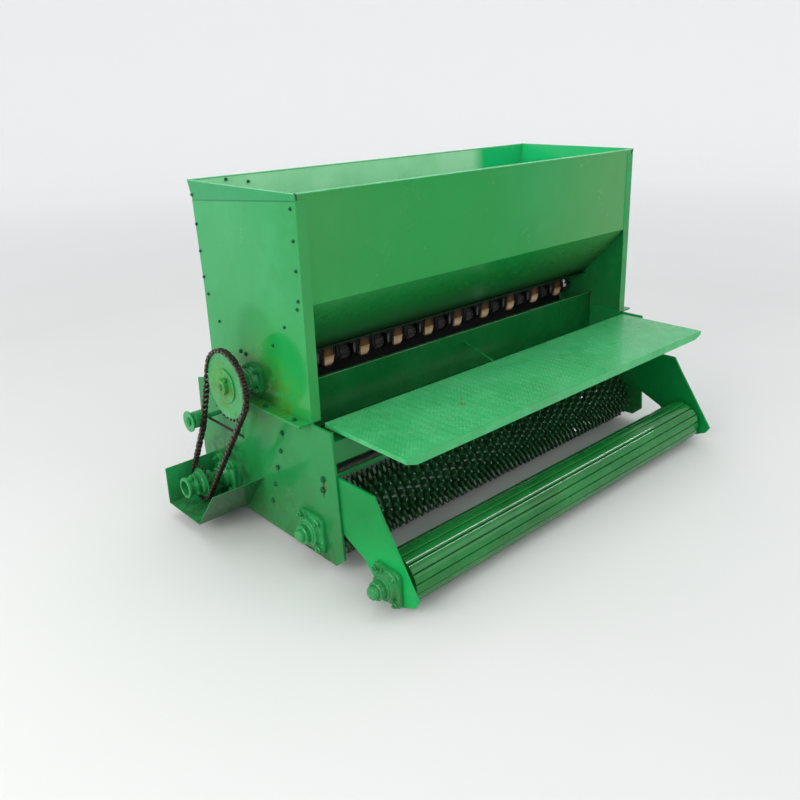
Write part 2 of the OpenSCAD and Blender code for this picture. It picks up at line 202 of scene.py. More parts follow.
def paint(name, base=(0.014, 0.285, 0.072), light=(0.032, 0.36, 0.115), deep=(0.010, 0.225, 0.050), rough=0.17, coat=0.22, wavy=1.0, dirt=0.35, dirt_low=None, rust=0.0, spots=(), stains=(), trails_below=(), scale=1.0, dust=0.25, spec=0.22, radial=None, light_patches=(), shade=None, inside=None, coat_rough=0.06, fold=None, back=None, under=None):
    m = Mat(name)
    big = m.noise(1.6 * scale, 3, 0.5, 0.3)
    mid = m.noise(7 * scale, 4, 0.55)
    col = m.mix(m.ramp(big, 0.35, 0.65), deep, base)
    col = m.mix(m.ramp(mid, 0.48, 0.78, 0, 0.55), col, light)
    # soft patches laid on the colour as painted light: painted reflections, painted highlights and pools of painted
    # shade
    for (x, y, z, rad, soft, amount, tint) in light_patches:
        col = m.mix(m.math("MULTIPLY", m.near(x, y, z, rad, soft), amount), col, tint)
    if back:
        # the bent edge that faces the rear, painted in the rear wall's darker tone as painted shade
        sep = m.node("ShaderNodeSeparateXYZ")
        m.plug(m.tc.outputs["Normal"], sep.inputs[0])
        col = m.mix(m.ramp(m.math("MULTIPLY", sep.outputs[1], -1.0), 0.6, 0.9), col, back)
    if under:
        # faces that look down, painted dark and dull as painted shade
        sep = m.node("ShaderNodeSeparateXYZ")
        m.plug(m.tc.outputs["Normal"], sep.inputs[0])
        col = m.mix(m.ramp(m.math("MULTIPLY", sep.outputs[2], -1.0), 0.2, 0.45, 0.0, 0.85), col, under)
    if fold:
        # the flared strip above the fold in its own tone as painted light, with a dark line painted in the crease as
        # painted shade
        _, yy, zz = m.xyz()
        h = m.math("SUBTRACT", zz, m.math("MULTIPLY_ADD", m.math("SUBTRACT", yy, P(0, 0, 0).y), fold[1], fold[0] / 1000))
        side = m.ramp(yy, P(0, 0, 0).y + 0.0012, P(0, 0, 0).y + 0.003)
        col = m.mix(m.math("MULTIPLY", side, m.ramp(h, -0.002, 0.001, 0.0, 0.7)), col, (0.014, 0.27, 0.092))
        col = m.mix(m.math("MULTIPLY", side, m.ramp(m.math("ABSOLUTE", m.math("ADD", h, 0.0012)), 0.001, 0.0036, 0.75, 0.0)), col, (0.006, 0.11, 0.030))
    if inside:
        # the inner face of a sheet, told by its direction in the object's own axes, painted pale as painted light, with
        # bands of painted light and painted shade across x
        axis, sign, tint, pale = inside
        sep = m.node("ShaderNodeSeparateXYZ")
        m.plug(m.tc.outputs["Normal"], sep.inputs[0])
        f = m.ramp(m.math("MULTIPLY", sep.outputs[axis], float(sign)), 0.4, 0.6)
        _, _, zz = m.xyz()
        f = m.math("MULTIPLY", f, m.ramp(zz, 0.95, 1.02))
        c = m.mix(m.ramp(mid, 0.4, 0.7), tint, pale)
        xx, _, _ = m.xyz()
        for (xa, xb, amount, hue) in inside_light_bands:
            c = m.mix(m.ramp(xx, P(xa, 0, 0).x, P(xb, 0, 0).x, 0.0, amount), c, hue)
        col = m.mix(f, col, c)
    # dust film and grime that settles in blotches
    fine = m.noise(38 * scale, 6, 0.65)
    film = m.math("MULTIPLY", m.ramp(m.noise(3.1 * scale, 5, 0.6, 0.4), 0.5, 0.72), m.ramp(fine, 0.4, 0.62))
    col = m.mix(m.math("MULTIPLY", film, dust), col, (0.15, 0.30, 0.16))
    grime = m.math("MULTIPLY", m.ramp(m.noise(5.5 * scale, 6, 0.68, 0.6), 0.56, 0.74), m.ramp(m.noise(90, 3, 0.6), 0.38, 0.6))
    col = m.mix(m.math("MULTIPLY", grime, dirt), col, (0.018, 0.075, 0.018))
    r = m.math("ADD", m.ramp(m.noise(9 * scale, 4), 0.3, 0.7, rough * 0.75, rough * 1.5), m.math("MULTIPLY", film, 0.16))
    r = m.math("ADD", r, m.math("MULTIPLY", grime, 0.25 * dirt))
    if dirt_low is not None:
        _, _, zz = m.xyz()
        low = m.math("MULTIPLY", m.ramp(zz, dirt_low[0] / 1000, dirt_low[1] / 1000, 1.0, 0.0), m.ramp(m.noise(14, 6, 0.7, 0.5), 0.36, 0.6))
        col = m.mix(m.math("MULTIPLY", low, dirt_low[2]), col, (0.055, 0.070, 0.028))
        r = m.math("ADD", r, m.math("MULTIPLY", low, 0.3 * dirt_low[2]))
    for (x, y, z, rad, soft, amount, tint) in stains:
        f = m.math("MULTIPLY", m.near(x, y, z, rad, soft), m.ramp(m.noise(22, 5, 0.7, 0.8), 0.38, 0.6))
        col = m.mix(m.math("MULTIPLY", f, amount), col, tint)
        r = m.math("ADD", r, m.math("MULTIPLY", f, 0.2 * amount))
    # dark trails below given places, laid on the colour
    for (y, z, ln, wd, amount, tint) in trails_below:
        f = m.trail_below(y, z, ln, wd)
        col = m.mix(m.math("MULTIPLY", f, amount), col, tint)
    if rust:
        f = m.math("MULTIPLY", m.ramp(m.noise(26, 6, 0.7, 0.3), 0.66, 0.72), rust)
        col = m.mix(f, col, (0.16, 0.055, 0.018))
        r = m.math("ADD", r, m.math("MULTIPLY", f, 0.45))
    for (x, y, z, rad) in spots:
        f = m.math("MULTIPLY", m.near(x, y, z, rad * 0.6, rad * 0.7), m.ramp(m.noise(120, 4, 0.7), 0.34, 0.52))
        col = m.mix(f, col, (0.17, 0.062, 0.022))
        r = m.math("ADD", r, m.math("MULTIPLY", f, 0.5))
    if radial:
        # oil thrown on the rim of a wheel that carries the chain
        (ry, rz, r0, r1, tint) = radial
        _, yy, zz = m.xyz()
        c = P(0, ry, rz)
        rr = m.math("SQRT", m.math("ADD", m.math("POWER", m.math("SUBTRACT", yy, c.y), 2.0), m.math("POWER", m.math("SUBTRACT", zz, c.z), 2.0)))
        f = m.ramp(m.math("ADD", rr, m.math("MULTIPLY", m.math("SUBTRACT", m.noise(50, 3), 0.5), 0.008)), r0 / 1000, r1 / 1000)
        col = m.mix(m.math("MULTIPLY", f, 0.93), col, tint)
        r = m.math("ADD", r, m.math("MULTIPLY", f, 0.2))
    # the sheet isn't flat, and the sprayed coat has a fine orange peel
    n1 = m.bump(m.noise(2.3 * scale, 2, 0.4), 0.010 * wavy, 0.35)
    n2 = m.bump(m.noise(420, 2, 0.5), 0.00025, 0.25, n1)
    if shade:
        # painted shade under a slope, darkest at its low edge
        _, _, zz = m.xyz()
        for (z0, z1, amount) in shade:
            f = m.ramp(zz, z0 / 1000, z1 / 1000, amount, 0.0)
            col = m.mix(f, col, (0.004, 0.012, 0.004))
            r = m.math("ADD", r, m.math("MULTIPLY", f, 0.3))
    m.b.inputs["Coat Weight"].default_value = coat
    m.b.inputs["Coat Roughness"].default_value = coat_rough
    m.b.inputs["Specular IOR Level"].default_value = spec
    m.out(Base_Color=col, Roughness=r, Normal=n2, Metallic=0.0)
    return m.m


OLIVE = (0.05, 0.12, 0.014)
LIME = (0.055, 0.30, 0.02)
BLACKISH = (0.010, 0.022, 0.010)
BROWN = (0.13, 0.06, 0.025)

DEEP = (0.004, 0.275, 0.045)
STRAW = (0.075, 0.30, 0.085)
# pale tints of the inner faces, painted light; the bands across x are painted light from x 330 and painted shade from x
# 600
MINT = (0.27, 0.68, 0.36)
PALE_MINT = (0.33, 0.74, 0.42)
inside_light_bands = [(330, 380, 0.8, (0.40, 0.76, 0.48)), (600, 690, 1.0, (0.010, 0.50, 0.155))]

m_box = paint("green_enamel_box", dirt_low=(600, 800, 0.3), dirt=0.12, dust=0.08, coat=0.15)
# floor plate darkened at its low edge by painted shade under the slope
m_floor = paint("green_enamel_hopper_floor", dirt=0.5, coat=0.05, spec=0.1, shade=[(760, 830, 0.9)])
# rear wall: its soft patches are painted reflections and pools of painted light and shade, the darkening toward the
# metering row is painted shade under the slope, and its inner face is painted pale as painted light
m_rear = paint("green_enamel_rear_wall", base=(0.012, 0.27, 0.055), light=(0.020, 0.32, 0.075), deep=(0.008, 0.25, 0.042), dirt=0.10, dust=0.05, coat=0.15, wavy=1.3,
               spots=[(-17, 0, 1347, 5)], shade=[(760, 1010, 0.70), (757, 815, 0.88)], inside=(1, 1, MINT, PALE_MINT),
               light_patches=[(-1000, 4, 1400, 120, 480, 0.5, (0.050, 0.27, 0.066)), (1000, 4, 1150, 250, 550, 0.8, STRAW), (-250, 4, 1200, 150, 450, 0.7, DEEP), (300, 4, 1350, 60, 260, 0.35, (0.03, 0.33, 0.10))])
# front wall: its inner face is painted pale as painted light, with bands of painted light and painted shade
m_inner = paint("green_enamel_front_wall", dirt=0.12, dust=0.08, rough=0.2, coat=0.3, wavy=0.6, inside=(1, -1, MINT, PALE_MINT))
# left end plate: its soft patches are painted light, the dark disc among them a painted reflection of the big sprocket;
# the rear-facing edge and the crease under the strip carry painted shade, and the inner face painted light
m_end_left = paint("green_enamel_end_plate", base=(0.022, 0.30, 0.085), light=(0.045, 0.36, 0.13), deep=(0.014, 0.26, 0.060), dirt=0.08, dust=0.08, wavy=0.8, rough=0.14, coat=0.2, spec=0.18, inside=(0, 1, MINT, PALE_MINT), fold=(1386.2, -0.0771), back=(0.030, 0.275, 0.066),
                   light_patches=[(-1000, 650, 1330, 200, 450, 0.5, (0.05, 0.35, 0.13)), (-1000, 320, 822, 118, 50, 0.85, (0.004, 0.225, 0.045)), (-1000, 150, 740, 120, 200, 0.6, (0.008, 0.30, 0.050))],
                   stains=[(-1000, 300, 655, 110, 120, 0.65, LIME), (-1000, 430, 640, 60, 90, 0.7, OLIVE), (-1000, 250, 700, 30, 70, 0.5, BLACKISH), (-1000, 120, 640, 60, 90, 0.45, LIME), (-1000, 200, 610, 50, 60, 0.5, OLIVE)])
# right end plate: inner face painted pale as painted light, and painted shade in the crease under the strip
m_end_right = paint("green_enamel_end_plate_right", dirt=0.08, dust=0.08, wavy=0.8, rough=0.14, coat=0.3, dirt_low=(600, 800, 0.3), inside=(0, -1, MINT, PALE_MINT), fold=(1386.2, -0.0771))
# a dark copy of the green enamel: painted shade on the guard panel under the seed box
m_guard_shaded = paint("green_enamel_guard", base=(0.005, 0.135, 0.026), light=(0.008, 0.17, 0.038), deep=(0.004, 0.11, 0.020), rough=0.22, coat=0.05, spec=0.10, dirt=0.3, dust=0.05)
# side plate: the two dark trails under the arm pivot bolts are the bolts' painted shadow
m_side = paint("green_enamel_side_plate", base=(0.012, 0.235, 0.055), light=(0.022, 0.29, 0.085), deep=(0.008, 0.20, 0.045), coat=0.12, spec=0.16, dirt=0.3, dust=0.15, wavy=0.6, dirt_low=(60, 330, 0.5),
               stains=[(-1000, 450, 560, 60, 90, 0.5, OLIVE), (-1000, 33, 60, 60, 70, 0.85, BLACKISH), (-1000, 640, 200, 110, 90, 0.75, BLACKISH), (-1000, 300, 560, 60, 90, 0.35, LIME)],
               trails_below=[(-49, 378, 42, 9, 0.9, BLACKISH), (-45, 334, 36, 9, 0.85, BLACKISH), (200, 484, 30, 6, 0.4, BLACKISH), (253, 320, 30, 6, 0.4, BLACKISH), (311, 152, 36, 7, 0.5, BLACKISH)],
               spots=[(-1000, -58, 356, 9)])
# arm: its lighter soft patch at the low end is painted light
m_arm = paint("green_enamel_arm", light_patches=[(-990, -390, 60, 120, 160, 0.8, (0.006, 0.38, 0.085))], base=(0.004, 0.24, 0.050), light=(0.008, 0.32, 0.080), deep=(0.004, 0.21, 0.042), coat=0.06, spec=0.10, dirt=0.2, dust=0.05, wavy=0.5, dirt_low=(20, 70, 0.25), stains=[(-990, -390, 40, 40, 60, 0.7, BLACKISH)])
m_frame = paint("green_enamel_frame", dirt=0.4, dust=0.15, wavy=0.4, dirt_low=(30, 420, 0.45))
m_board = paint("green_enamel_board", light=(0.108, 0.55, 0.225), base=(0.050, 0.43, 0.145), deep=(0.036, 0.36, 0.110), rough=0.3, coat=0.2, dirt=0.4, dust=0.4, wavy=0.5,
                spots=[(-487, -259, 584, 15), (-455, -225, 584, 6), (210, -330, 584, 4)], scale=2.0)
# a lighter copy of the green enamel: a painted highlight along the rim tops
m_rim_highlight = paint("green_enamel_rims", base=(0.13, 0.55, 0.25), light=(0.22, 0.64, 0.35), deep=(0.09, 0.48, 0.19), rough=0.2, coat=0.4, spec=0.3, dirt=0.15, dust=0.05, scale=2.0, wavy=0.1)
m_tread = paint("green_enamel_tread", light=(0.20, 0.64, 0.33), base=(0.095, 0.52, 0.205), deep=(0.042, 0.40, 0.122), rough=0.16, coat=0.5, spec=0.3, dirt=0.2, dust=0.1, wavy=0.2, scale=3.0)
m_edge = paint("green_enamel_worn_edge", base=(0.16, 0.34, 0.20), light=(0.24, 0.38, 0.27), deep=(0.08, 0.26, 0.11), rough=0.35, coat=0.05, dirt=0.4, scale=4.0, wavy=0.1)
m_cast = paint("green_enamel_castings", rough=0.26, coat=0.3, dirt=0.55, dust=0.15, dirt_low=(40, 190, 0.5), scale=3.0, wavy=0.2)
# a darker copy of the green enamel: painted shade on the bolt heads
m_bolt_shaded = paint("green_enamel_bolts", spec=0.12, base=(0.007, 0.11, 0.030), light=(0.012, 0.16, 0.045), deep=(0.005, 0.075, 0.020), rough=0.3, coat=0.2, dirt=0.6, scale=6.0, wavy=0.1)
m_roller = paint("green_enamel_roller", base=(0.010, 0.195, 0.036), light=(0.016, 0.25, 0.054), deep=(0.008, 0.14, 0.022), rough=0.22, coat=0.55, coat_rough=0.03, spec=0.06, dirt=0.35, dust=0.1, dirt_low=(10, 75, 0.8), wavy=0.15, scale=1.5, rust=0.15)
# tray: its downward faces are painted dark as painted shade
m_tray = paint("green_enamel_tray", under=(0.010, 0.075, 0.022), base=(0.020, 0.31, 0.085), dirt=0.5, dust=0.1, dirt_low=(40, 130, 0.5), rough=0.25, wavy=0.5, stains=[(-1120, 640, 60, 90, 120, 0.6, BLACKISH)])
m_sprocket = paint("green_enamel_sprocket", base=(0.03, 0.30, 0.085), light=(0.07, 0.38, 0.15), rough=0.28, coat=0.3, dirt=0.7, wavy=0.1, scale=4.0,
                   stains=[(CHAIN_X, METER_Y + 20, METER_Z - 10, 60, 60, 0.85, LIME), (CHAIN_X, METER_Y + 40, METER_Z - 40, 35, 50, 0.7, OLIVE), (CHAIN_X, METER_Y - 40, METER_Z - 10, 20, 30, 0.6, OLIVE), (CHAIN_X, METER_Y - 20, METER_Z + 30, 8, 18, 0.8, BLACKISH)],
                   radial=(METER_Y, METER_Z, 128, 137, (0.030, 0.026, 0.014)))
m_small_sprocket = paint("green_enamel_small_sprocket", rough=0.28, coat=0.3, dirt=0.8, wavy=0.1, scale=4.0, radial=(FRONT_Y, FRONT_Z, 58, 68, (0.030, 0.026, 0.014)))


def toothed_paint(name, dark, lightc, tip):
    m = Mat(name)
    a = m.noise(18, 5, 0.6)
    col = m.mix(m.ramp(a, 0.35, 0.7), dark, lightc)
    f = m.ramp(m.noise(60, 4, 0.7), 0.5, 0.68)
    col = m.mix(m.math("MULTIPLY", f, tip), col, (0.06, 0.16, 0.07))
    g = m.ramp(m.noise(11, 5, 0.7, 0.5), 0.56, 0.7)
    col = m.mix(m.math("MULTIPLY", g, 0.6), col, (0.020, 0.020, 0.014))
    n = m.bump(m.noise(160, 4, 0.6), 0.0012, 0.5)
    m.b.inputs["Coat Weight"].default_value = 0.3
    m.b.inputs["Coat Roughness"].default_value = 0.12
    m.out(Base_Color=col, Roughness=m.ramp(a, 0.3, 0.7, 0.28, 0.5), Normal=n)
    return m.m


m_teeth = toothed_paint("dark_green_rings", (0.012, 0.060, 0.018), (0.016, 0.105, 0.034), 0.3)
m_tips = toothed_paint("dark_green_ring_tips", (0.020, 0.12, 0.04), (0.05, 0.20, 0.085), 0.8)


def steel(name, base, rough, metallic=1.0, oil=0.0, rusty=0.0, brushed=None):
    m = Mat(name)
    a = m.noise(30, 5, 0.6)
    col = m.mix(m.ramp(a, 0.35, 0.7), base, tuple(c * 0.6 for c in base))
    if rusty:
        col = m.mix(m.math("MULTIPLY", m.ramp(m.noise(45, 6, 0.7, 0.4), 0.48, 0.66), rusty), col, (0.12, 0.05, 0.02))
    if oil:
        col = m.mix(m.math("MULTIPLY", m.ramp(m.noise(20, 5, 0.65, 0.4), 0.42, 0.62), oil), col, (0.022, 0.014, 0.009))
    h = m.noise(300, 3, 0.6, stretch=brushed) if brushed else m.noise(220, 4, 0.6)
    m.out(Base_Color=col, Metallic=metallic, Roughness=m.ramp(a, 0.3, 0.7, rough * 0.8, rough * 1.3), Normal=m.bump(h, 0.0003, 0.5))
    return m.m


m_steel = steel("turned_steel", (0.46, 0.46, 0.44), 0.28, rusty=0.3, brushed=(12, 1, 1))
m_zinc = steel("zinc_fasteners", (0.50, 0.50, 0.47), 0.35, rusty=0.35)
m_chain = steel("oiled_chain", (0.060, 0.042, 0.032), 0.42, 0.6, oil=0.7, rusty=0.35)
m_pin = steel("chain_pin_heads", (0.30, 0.26, 0.21), 0.3, 0.9, oil=0.35)
m_rod = steel("blackened_rod", (0.022, 0.025, 0.022), 0.45, 0.5, rusty=0.2)


def plastic(name, base, other, rough, streaks=0.0, top_shade=None, spec=0.5):
    m = Mat(name)
    a = m.noise(14, 4, 0.6)
    col = m.mix(m.ramp(a, 0.3, 0.7), base, other)
    if streaks:
        col = m.mix(m.math("MULTIPLY", m.ramp(m.noise(40, 5, 0.7, 0.6), 0.45, 0.7), streaks), col, (0.16, 0.075, 0.025))
    # painted shade, darkening toward the top under the slope of the seed box
    if top_shade:
        _, _, zz = m.xyz()
        f = m.ramp(m.math("ADD", zz, m.math("MULTIPLY", m.math("SUBTRACT", m.noise(35, 3), 0.5), 0.016)), top_shade[0] / 1000, top_shade[1] / 1000, 0.0, top_shade[2])
        col = m.mix(f, col, top_shade[3])
    m.b.inputs["Specular IOR Level"].default_value = spec
    m.out(Base_Color=col, Roughness=m.ramp(a, 0.3, 0.7, rough * 0.8, rough * 1.25), Normal=m.bump(m.noise(260, 3, 0.5), 0.0003, 0.4))
    return m.m


m_black = plastic("black_moulded_plastic", (0.013, 0.012, 0.014), (0.020, 0.018, 0.020), 0.5, spec=0.22)
# the cream browns at its top, the tan chute goes near black at its top and the grey posts darken upward: painted shade
# under the slope; the tan is partly its own brown and partly painted shade
m_cream = plastic("cream_moulded_plastic", (0.74, 0.57, 0.38), (0.60, 0.43, 0.26), 0.4, streaks=0.2, top_shade=(METER_Z - 6, METER_Z + 13, 0.85, (0.26, 0.13, 0.03)))
m_tan = plastic("tan_moulded_plastic", (0.19, 0.095, 0.020), (0.10, 0.050, 0.018), 0.5, streaks=0.4, top_shade=(METER_Z + 15, METER_Z + 52, 0.9, (0.018, 0.012, 0.008)), spec=0.25)
m_grey = plastic("grey_moulded_plastic", (0.16, 0.15, 0.14), (0.07, 0.065, 0.06), 0.4, top_shade=(METER_Z + 16, METER_Z + 42, 0.9, (0.02, 0.018, 0.016)), spec=0.3)
m_white = plastic("white_caps", (0.86, 0.86, 0.84), (0.78, 0.78, 0.76), 0.35)
m_roll = plastic("feed_roll_plastic", (0.050, 0.045, 0.044), (0.028, 0.026, 0.026), 0.45, spec=0.25)
m_rubber = plastic("black_rubber", (0.02, 0.02, 0.02), (0.03, 0.03, 0.03), 0.6)

# ---------------------------------------------------------------- mesh helpers


class Build:
    """gathers parts in machine mm and makes one object of them"""

    def __init__(s):
        s.v, s.f, s.m = [], [], []

    def add(s, verts, faces, mat=0):
        o = len(s.v)
        s.v += [tuple(v) for v in verts]
        s.f += [[i + o for i in f] for f in faces]
        s.m += [mat] * len(faces)

    def box(s, x0, x1, y0, y1, z0, z1, mat=0):
        v = [(x, y, z) for x in (x0, x1) for y in (y0, y1) for z in (z0, z1)]
        s.add(v, [(0, 1, 3, 2), (4, 6, 7, 5), (0, 4, 5, 1), (2, 3, 7, 6), (0, 2, 6, 4), (1, 5, 7, 3)], mat)

    def lathe(s, prof, c, axis="x", seg=32, mat=0, phase=0.0):
        """prof: (along, radius) from one end to the other; c: the other two coordinates, or a frame (origin, axis, u, v)"""
        rings = []
        for a, r in prof:
            ring = []
            if r < 1e-6:
                ring = [len(s.v)]
                s.v.append(s.place(a, 0, 0, c, axis))
            else:
                for k in range(seg):
                    t = 2 * math.pi * k / seg + phase
                    ring.append(len(s.v))
                    s.v.append(s.place(a, r * math.cos(t), r * math.sin(t), c, axis))
            rings.append(ring)
        for a, b in zip(rings, rings[1:]):
            for k in range(seg):
                k2 = (k + 1) % seg
                if len(a) == 1 and len(b) == 1:
                    break
                if len(a) == 1:
                    q = [a[0], b[k], b[k2]]
                elif len(b) == 1:
                    q = [a[k], b[0], a[k2]]
                else:
                    q = [a[k], b[k], b[k2], a[k2]]
                s.f.append(q)
                s.m.append(mat)
        for ring, flip in ((rings[0], True), (rings[-1], False)):
            if len(ring) > 1:
                s.f.append(list(reversed(ring)) if flip else list(ring))
                s.m.append(mat)

    def tube(s, prof, c, axis="x", seg=32, mat=0):
        """closed profile turned round the axis (a ring)"""
        rings = []
        for a, r in prof:
            ring = []
            for k in range(seg):
                t = 2 * math.pi * k / seg
                ring.append(len(s.v))
                s.v.append(s.place(a, r * math.cos(t), r * math.sin(t), c, axis))
            rings.append(ring)
        n = len(rings)
        for i in range(n):
            a, b = rings[i], rings[(i + 1) % n]
            for k in range(seg):
                k2 = (k + 1) % seg
                s.f.append([a[k], b[k], b[k2], a[k2]])
                s.m.append(mat)

    @staticmethod
    def place(a, p, q, c, axis):
        if axis == "x":
            return (a, c[0] + p, c[1] + q)
        if axis == "y":
            return (c[0] + p, a, c[1] + q)
        if axis == "z":
            return (c[0] + p, c[1] + q, a)
        o, d, u, v = c
        w = o + d * a + u * p + v * q
        return (w.x, w.y, w.z)

    def prism(s, pts, x0, x1, mat=0, plane="yz"):
        n = len(pts)
        def put(p, q, h):
            return (h, p, q) if plane == "yz" else (p, h, q) if plane == "xz" else (p, q, h)
        v = [put(p[0], p[1], x0) for p in pts] + [put(p[0], p[1], x1) for p in pts]
        f = [list(range(n)), list(range(2 * n - 1, n - 1, -1))]
        f += [[i, i + n, (i + 1) % n + n, (i + 1) % n] for i in range(n)]
        s.add(v, f, mat)

    def bolt(s, pos, d, size=10, washer=True, stub=0.0, mat=0, turn=None, nut=False):
        """hexagon head or nut on a washer, standing out from pos along d"""
        o = Vector(pos)
        d = Vector(d).normalized()
        u = d.orthogonal().normalized()
        v = d.cross(u)
        t = random.uniform(0, math.pi / 3) if turn is None else turn
        u, v = u * math.cos(t) + v * math.sin(t), -u * math.sin(t) + v * math.cos(t)
        fr = (o, d, u, v)
        h0 = 0.0
        if washer:
            s.lathe([(-0.5, size * 1.05), (size * 0.14, size * 1.05), (size * 0.18, size * 0.98), (size * 0.18, 0)], fr, None, 20, mat)
            h0 = size * 0.18
        h = size * (0.8 if nut else 0.65)
        rr = size * 0.95
        s.lathe([(h0 - 0.2, 0), (h0 - 0.2, rr * 0.93), (h0 + h * 0.12, rr), (h0 + h * 0.82, rr), (h0 + h, rr * 0.84), (h0 + h, 0)], fr, None, 6, mat)
        if stub:
            s.lathe([(h0 + h - 0.5, 0), (h0 + h - 0.5, size * 0.48), (h0 + h + stub - 1, size * 0.48), (h0 + h + stub, size * 0.38), (h0 + h + stub, 0)], fr, None, 12, mat)

    def bead(s, a, b, r=3.0, mat=0, step=3.2, up=None):
        """weld bead from a to b, rippled, half sunk in the corner"""
        a, b = Vector(a), Vector(b)
        L = (b - a).length
        n = max(3, int(L / step))
        d = (b - a).normalized()
        u = d.orthogonal().normalized()
        v = d.cross(u)
        seg = 8
        rings = []
        for i in range(n + 1):
            k = r * (1.0 + 0.16 * math.sin(i * 2.1) + random.uniform(-0.10, 0.10))
            if i in (0, n):
                k *= 0.55
            c = a + d * (L * i / n) + u * random.uniform(-0.35, 0.35) + v * random.uniform(-0.35, 0.35)
            ring = []
            for j in range(seg):
                t = 2 * math.pi * j / seg
                w = c + u * (k * math.cos(t)) + v * (k * math.sin(t))
                ring.append(len(s.v))
                s.v.append((w.x, w.y, w.z))
            rings.append(ring)
        for p, q in zip(rings, rings[1:]):
            for j in range(seg):
                j2 = (j + 1) % seg
                s.f.append([p[j], q[j], q[j2], p[j2]])
                s.m.append(mat)
        s.f.append(list(reversed(rings[0])))
        s.f.append(list(rings[-1]))
        s.m += [mat, mat]

    def mirrored(s):
        n = Build()
        n.v = [(-x, y, z) for x, y, z in s.v]
        n.f = [list(reversed(f)) for f in s.f]
        n.m = list(s.m)
        return n

    def join(s, other):
        o = len(s.v)
        s.v += other.v
        s.f += [[i + o for i in f] for f in other.f]
        s.m += other.m

    def make(s, name, mats, body, angle=35, bevel=None, replaces=(), slot="green_paint", segs=2):
        me = bpy.data.meshes.new(name)
        me.from_pydata([P(*v) for v in s.v], [], s.f)
        me.update()
        for m in mats:
            me.materials.append(m)
        me.polygons.foreach_set("material_index", s.m)
        bm = bmesh.new()
        bm.from_mesh(me)
        bmesh.ops.recalc_face_normals(bm, faces=bm.faces)
        lim = math.radians(angle)
        for e in bm.edges:
            e.smooth = len(e.link_faces) == 2 and e.calc_face_angle(0.0) < lim
        for f in bm.faces:
            f.smooth = True
        bm.to_mesh(me)
        bm.free()
        ob = bpy.data.objects.new(name, me)
        bpy.context.scene.collection.objects.link(ob)
        if bevel:
            rounded(ob, bevel, segs, weld=False)
        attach(ob, body)
        if replaces:
            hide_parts(*replaces)
        return ob


def rounded(ob, width, segs=2, weld=True, angle=40):
    if weld:
        w = ob.modifiers.new("weld", "WELD")
        w.merge_threshold = 0.00002
    b = ob.modifiers.new("edges", "BEVEL")
    b.width = width / 1000
    b.segments = segs
    b.limit_method = "ANGLE"
    b.angle_limit = math.radians(angle)
    b.use_clamp_overlap = True
    b.harden_normals = False
    n = ob.modifiers.new("shading", "WEIGHTED_NORMAL")
    n.weight = 60
    n.keep_sharp = True


def give(node, mat):
    ob = N[node]
    ob.data.materials.clear()
    ob.data.materials.append(mat)


# ---------------------------------------------------------------- finishes of the CAD nodes
give("front_sill", m_box)
give("hopper_floor", m_floor)
give("hopper_rear_wall", m_rear)
give("seed_guard_panel", m_guard_shaded)
give("hopper_front_wall", m_inner)
give("wind_guard", m_black)
give("end_plate_left", m_end_left)
give("end_plate_right", m_end_right)
give("side_plate_left", m_side)
give("side_plate_right", m_frame)
for n in ("arm_left", "arm_right"):
    give(n, m_arm)
for n in ("rear_crossbeam", "front_crossbeam", "scraper_bar", "footboard_gussets", "hitch_mast", "mast_braces", "hitch_plates", "stay_rod", "idler_stud"):
    give(n, m_frame)
give("footboard", m_board)
give("chain_tray", m_tray)
for n in ("rear_roller_drum", "front_roller_drum"):
    give(n, m_roller)
give("toothed_roller_tube", m_teeth)
for n in ("metering_shaft", "hitch_pins"):
    give(n, m_steel)
for n in ("chain_idler", "drive_sleeve"):
    give(n, m_cast)
give("metering_sprocket", m_sprocket)
give("drive_sprocket", m_small_sprocket)
give("idler_rod", m_rod)
for n, w in (("end_plate_left", 1.2), ("end_plate_right", 1.2), ("hopper_rear_wall", 1.0), ("hopper_front_wall", 1.0), ("seed_guard_panel", 0.9),
             ("side_plate_left", 1.6), ("side_plate_right", 1.6), ("arm_left", 1.8), ("arm_right", 1.8), ("chain_tray", 1.0), ("footboard", 1.1),
             ("rear_crossbeam", 4.0), ("front_crossbeam", 6.0), ("scraper_bar", 1.0), ("footboard_gussets", 1.0), ("hitch_mast", 1.5), ("mast_braces", 1.5),
             ("hitch_plates", 1.8), ("front_sill", 0.8), ("wind_guard", 0.6), ("hopper_floor", 0.8)):
    rounded(N[n], w)

# ---------------------------------------------------------------- toothed rings
RINGS, RING_PITCH, TEETH = 46, 41.5, 23


def toothed_ring(b, x0, phase):
    tip, root, inner = 139.6, 116.0, 99.5
    prof = [(-0.40, root, 7.0), (-0.13, tip - 2.0, 4.2), (0.0, tip, 3.6), (0.13, tip - 2.0, 4.2), (0.40, root, 7.0)]
    outer = []
    for k in range(TEETH):
        for j, (p, r, h) in enumerate(prof):
            t = 2 * math.pi * (k + p + phase) / TEETH
            outer.append((t, r, h, 1 if j in (1, 2) else 0))
    n = len(outer)
    v = []
    for sx in (-1, 1):
        v += [(x0 + sx * h, TOOTH_Y + r * math.cos(t), TOOTH_Z + r * math.sin(t)) for t, r, h, _ in outer]
        v += [(x0 + sx * 7.0, TOOTH_Y + inner * math.cos(t), TOOTH_Z + inner * math.sin(t)) for t, r, h, _ in outer]
    o = len(b.v)
    b.v += v
    A, AI, B, BI = 0, n, 2 * n, 3 * n
    for i in range(n):
        j = (i + 1) % n
        tipm = 1 if outer[i][3] else 0
        b.f.append([o + A + i, o + A + j, o + B + j, o + B + i]); b.m.append(tipm)
        b.f.append([o + A + i, o + AI + i, o + AI + j, o + A + j]); b.m.append(0)
        b.f.append([o + B + i, o + B + j, o + BI + j, o + BI + i]); b.m.append(0)
        b.f.append([o + AI + i, o + BI + i, o + BI + j, o + AI + j]); b.m.append(0)


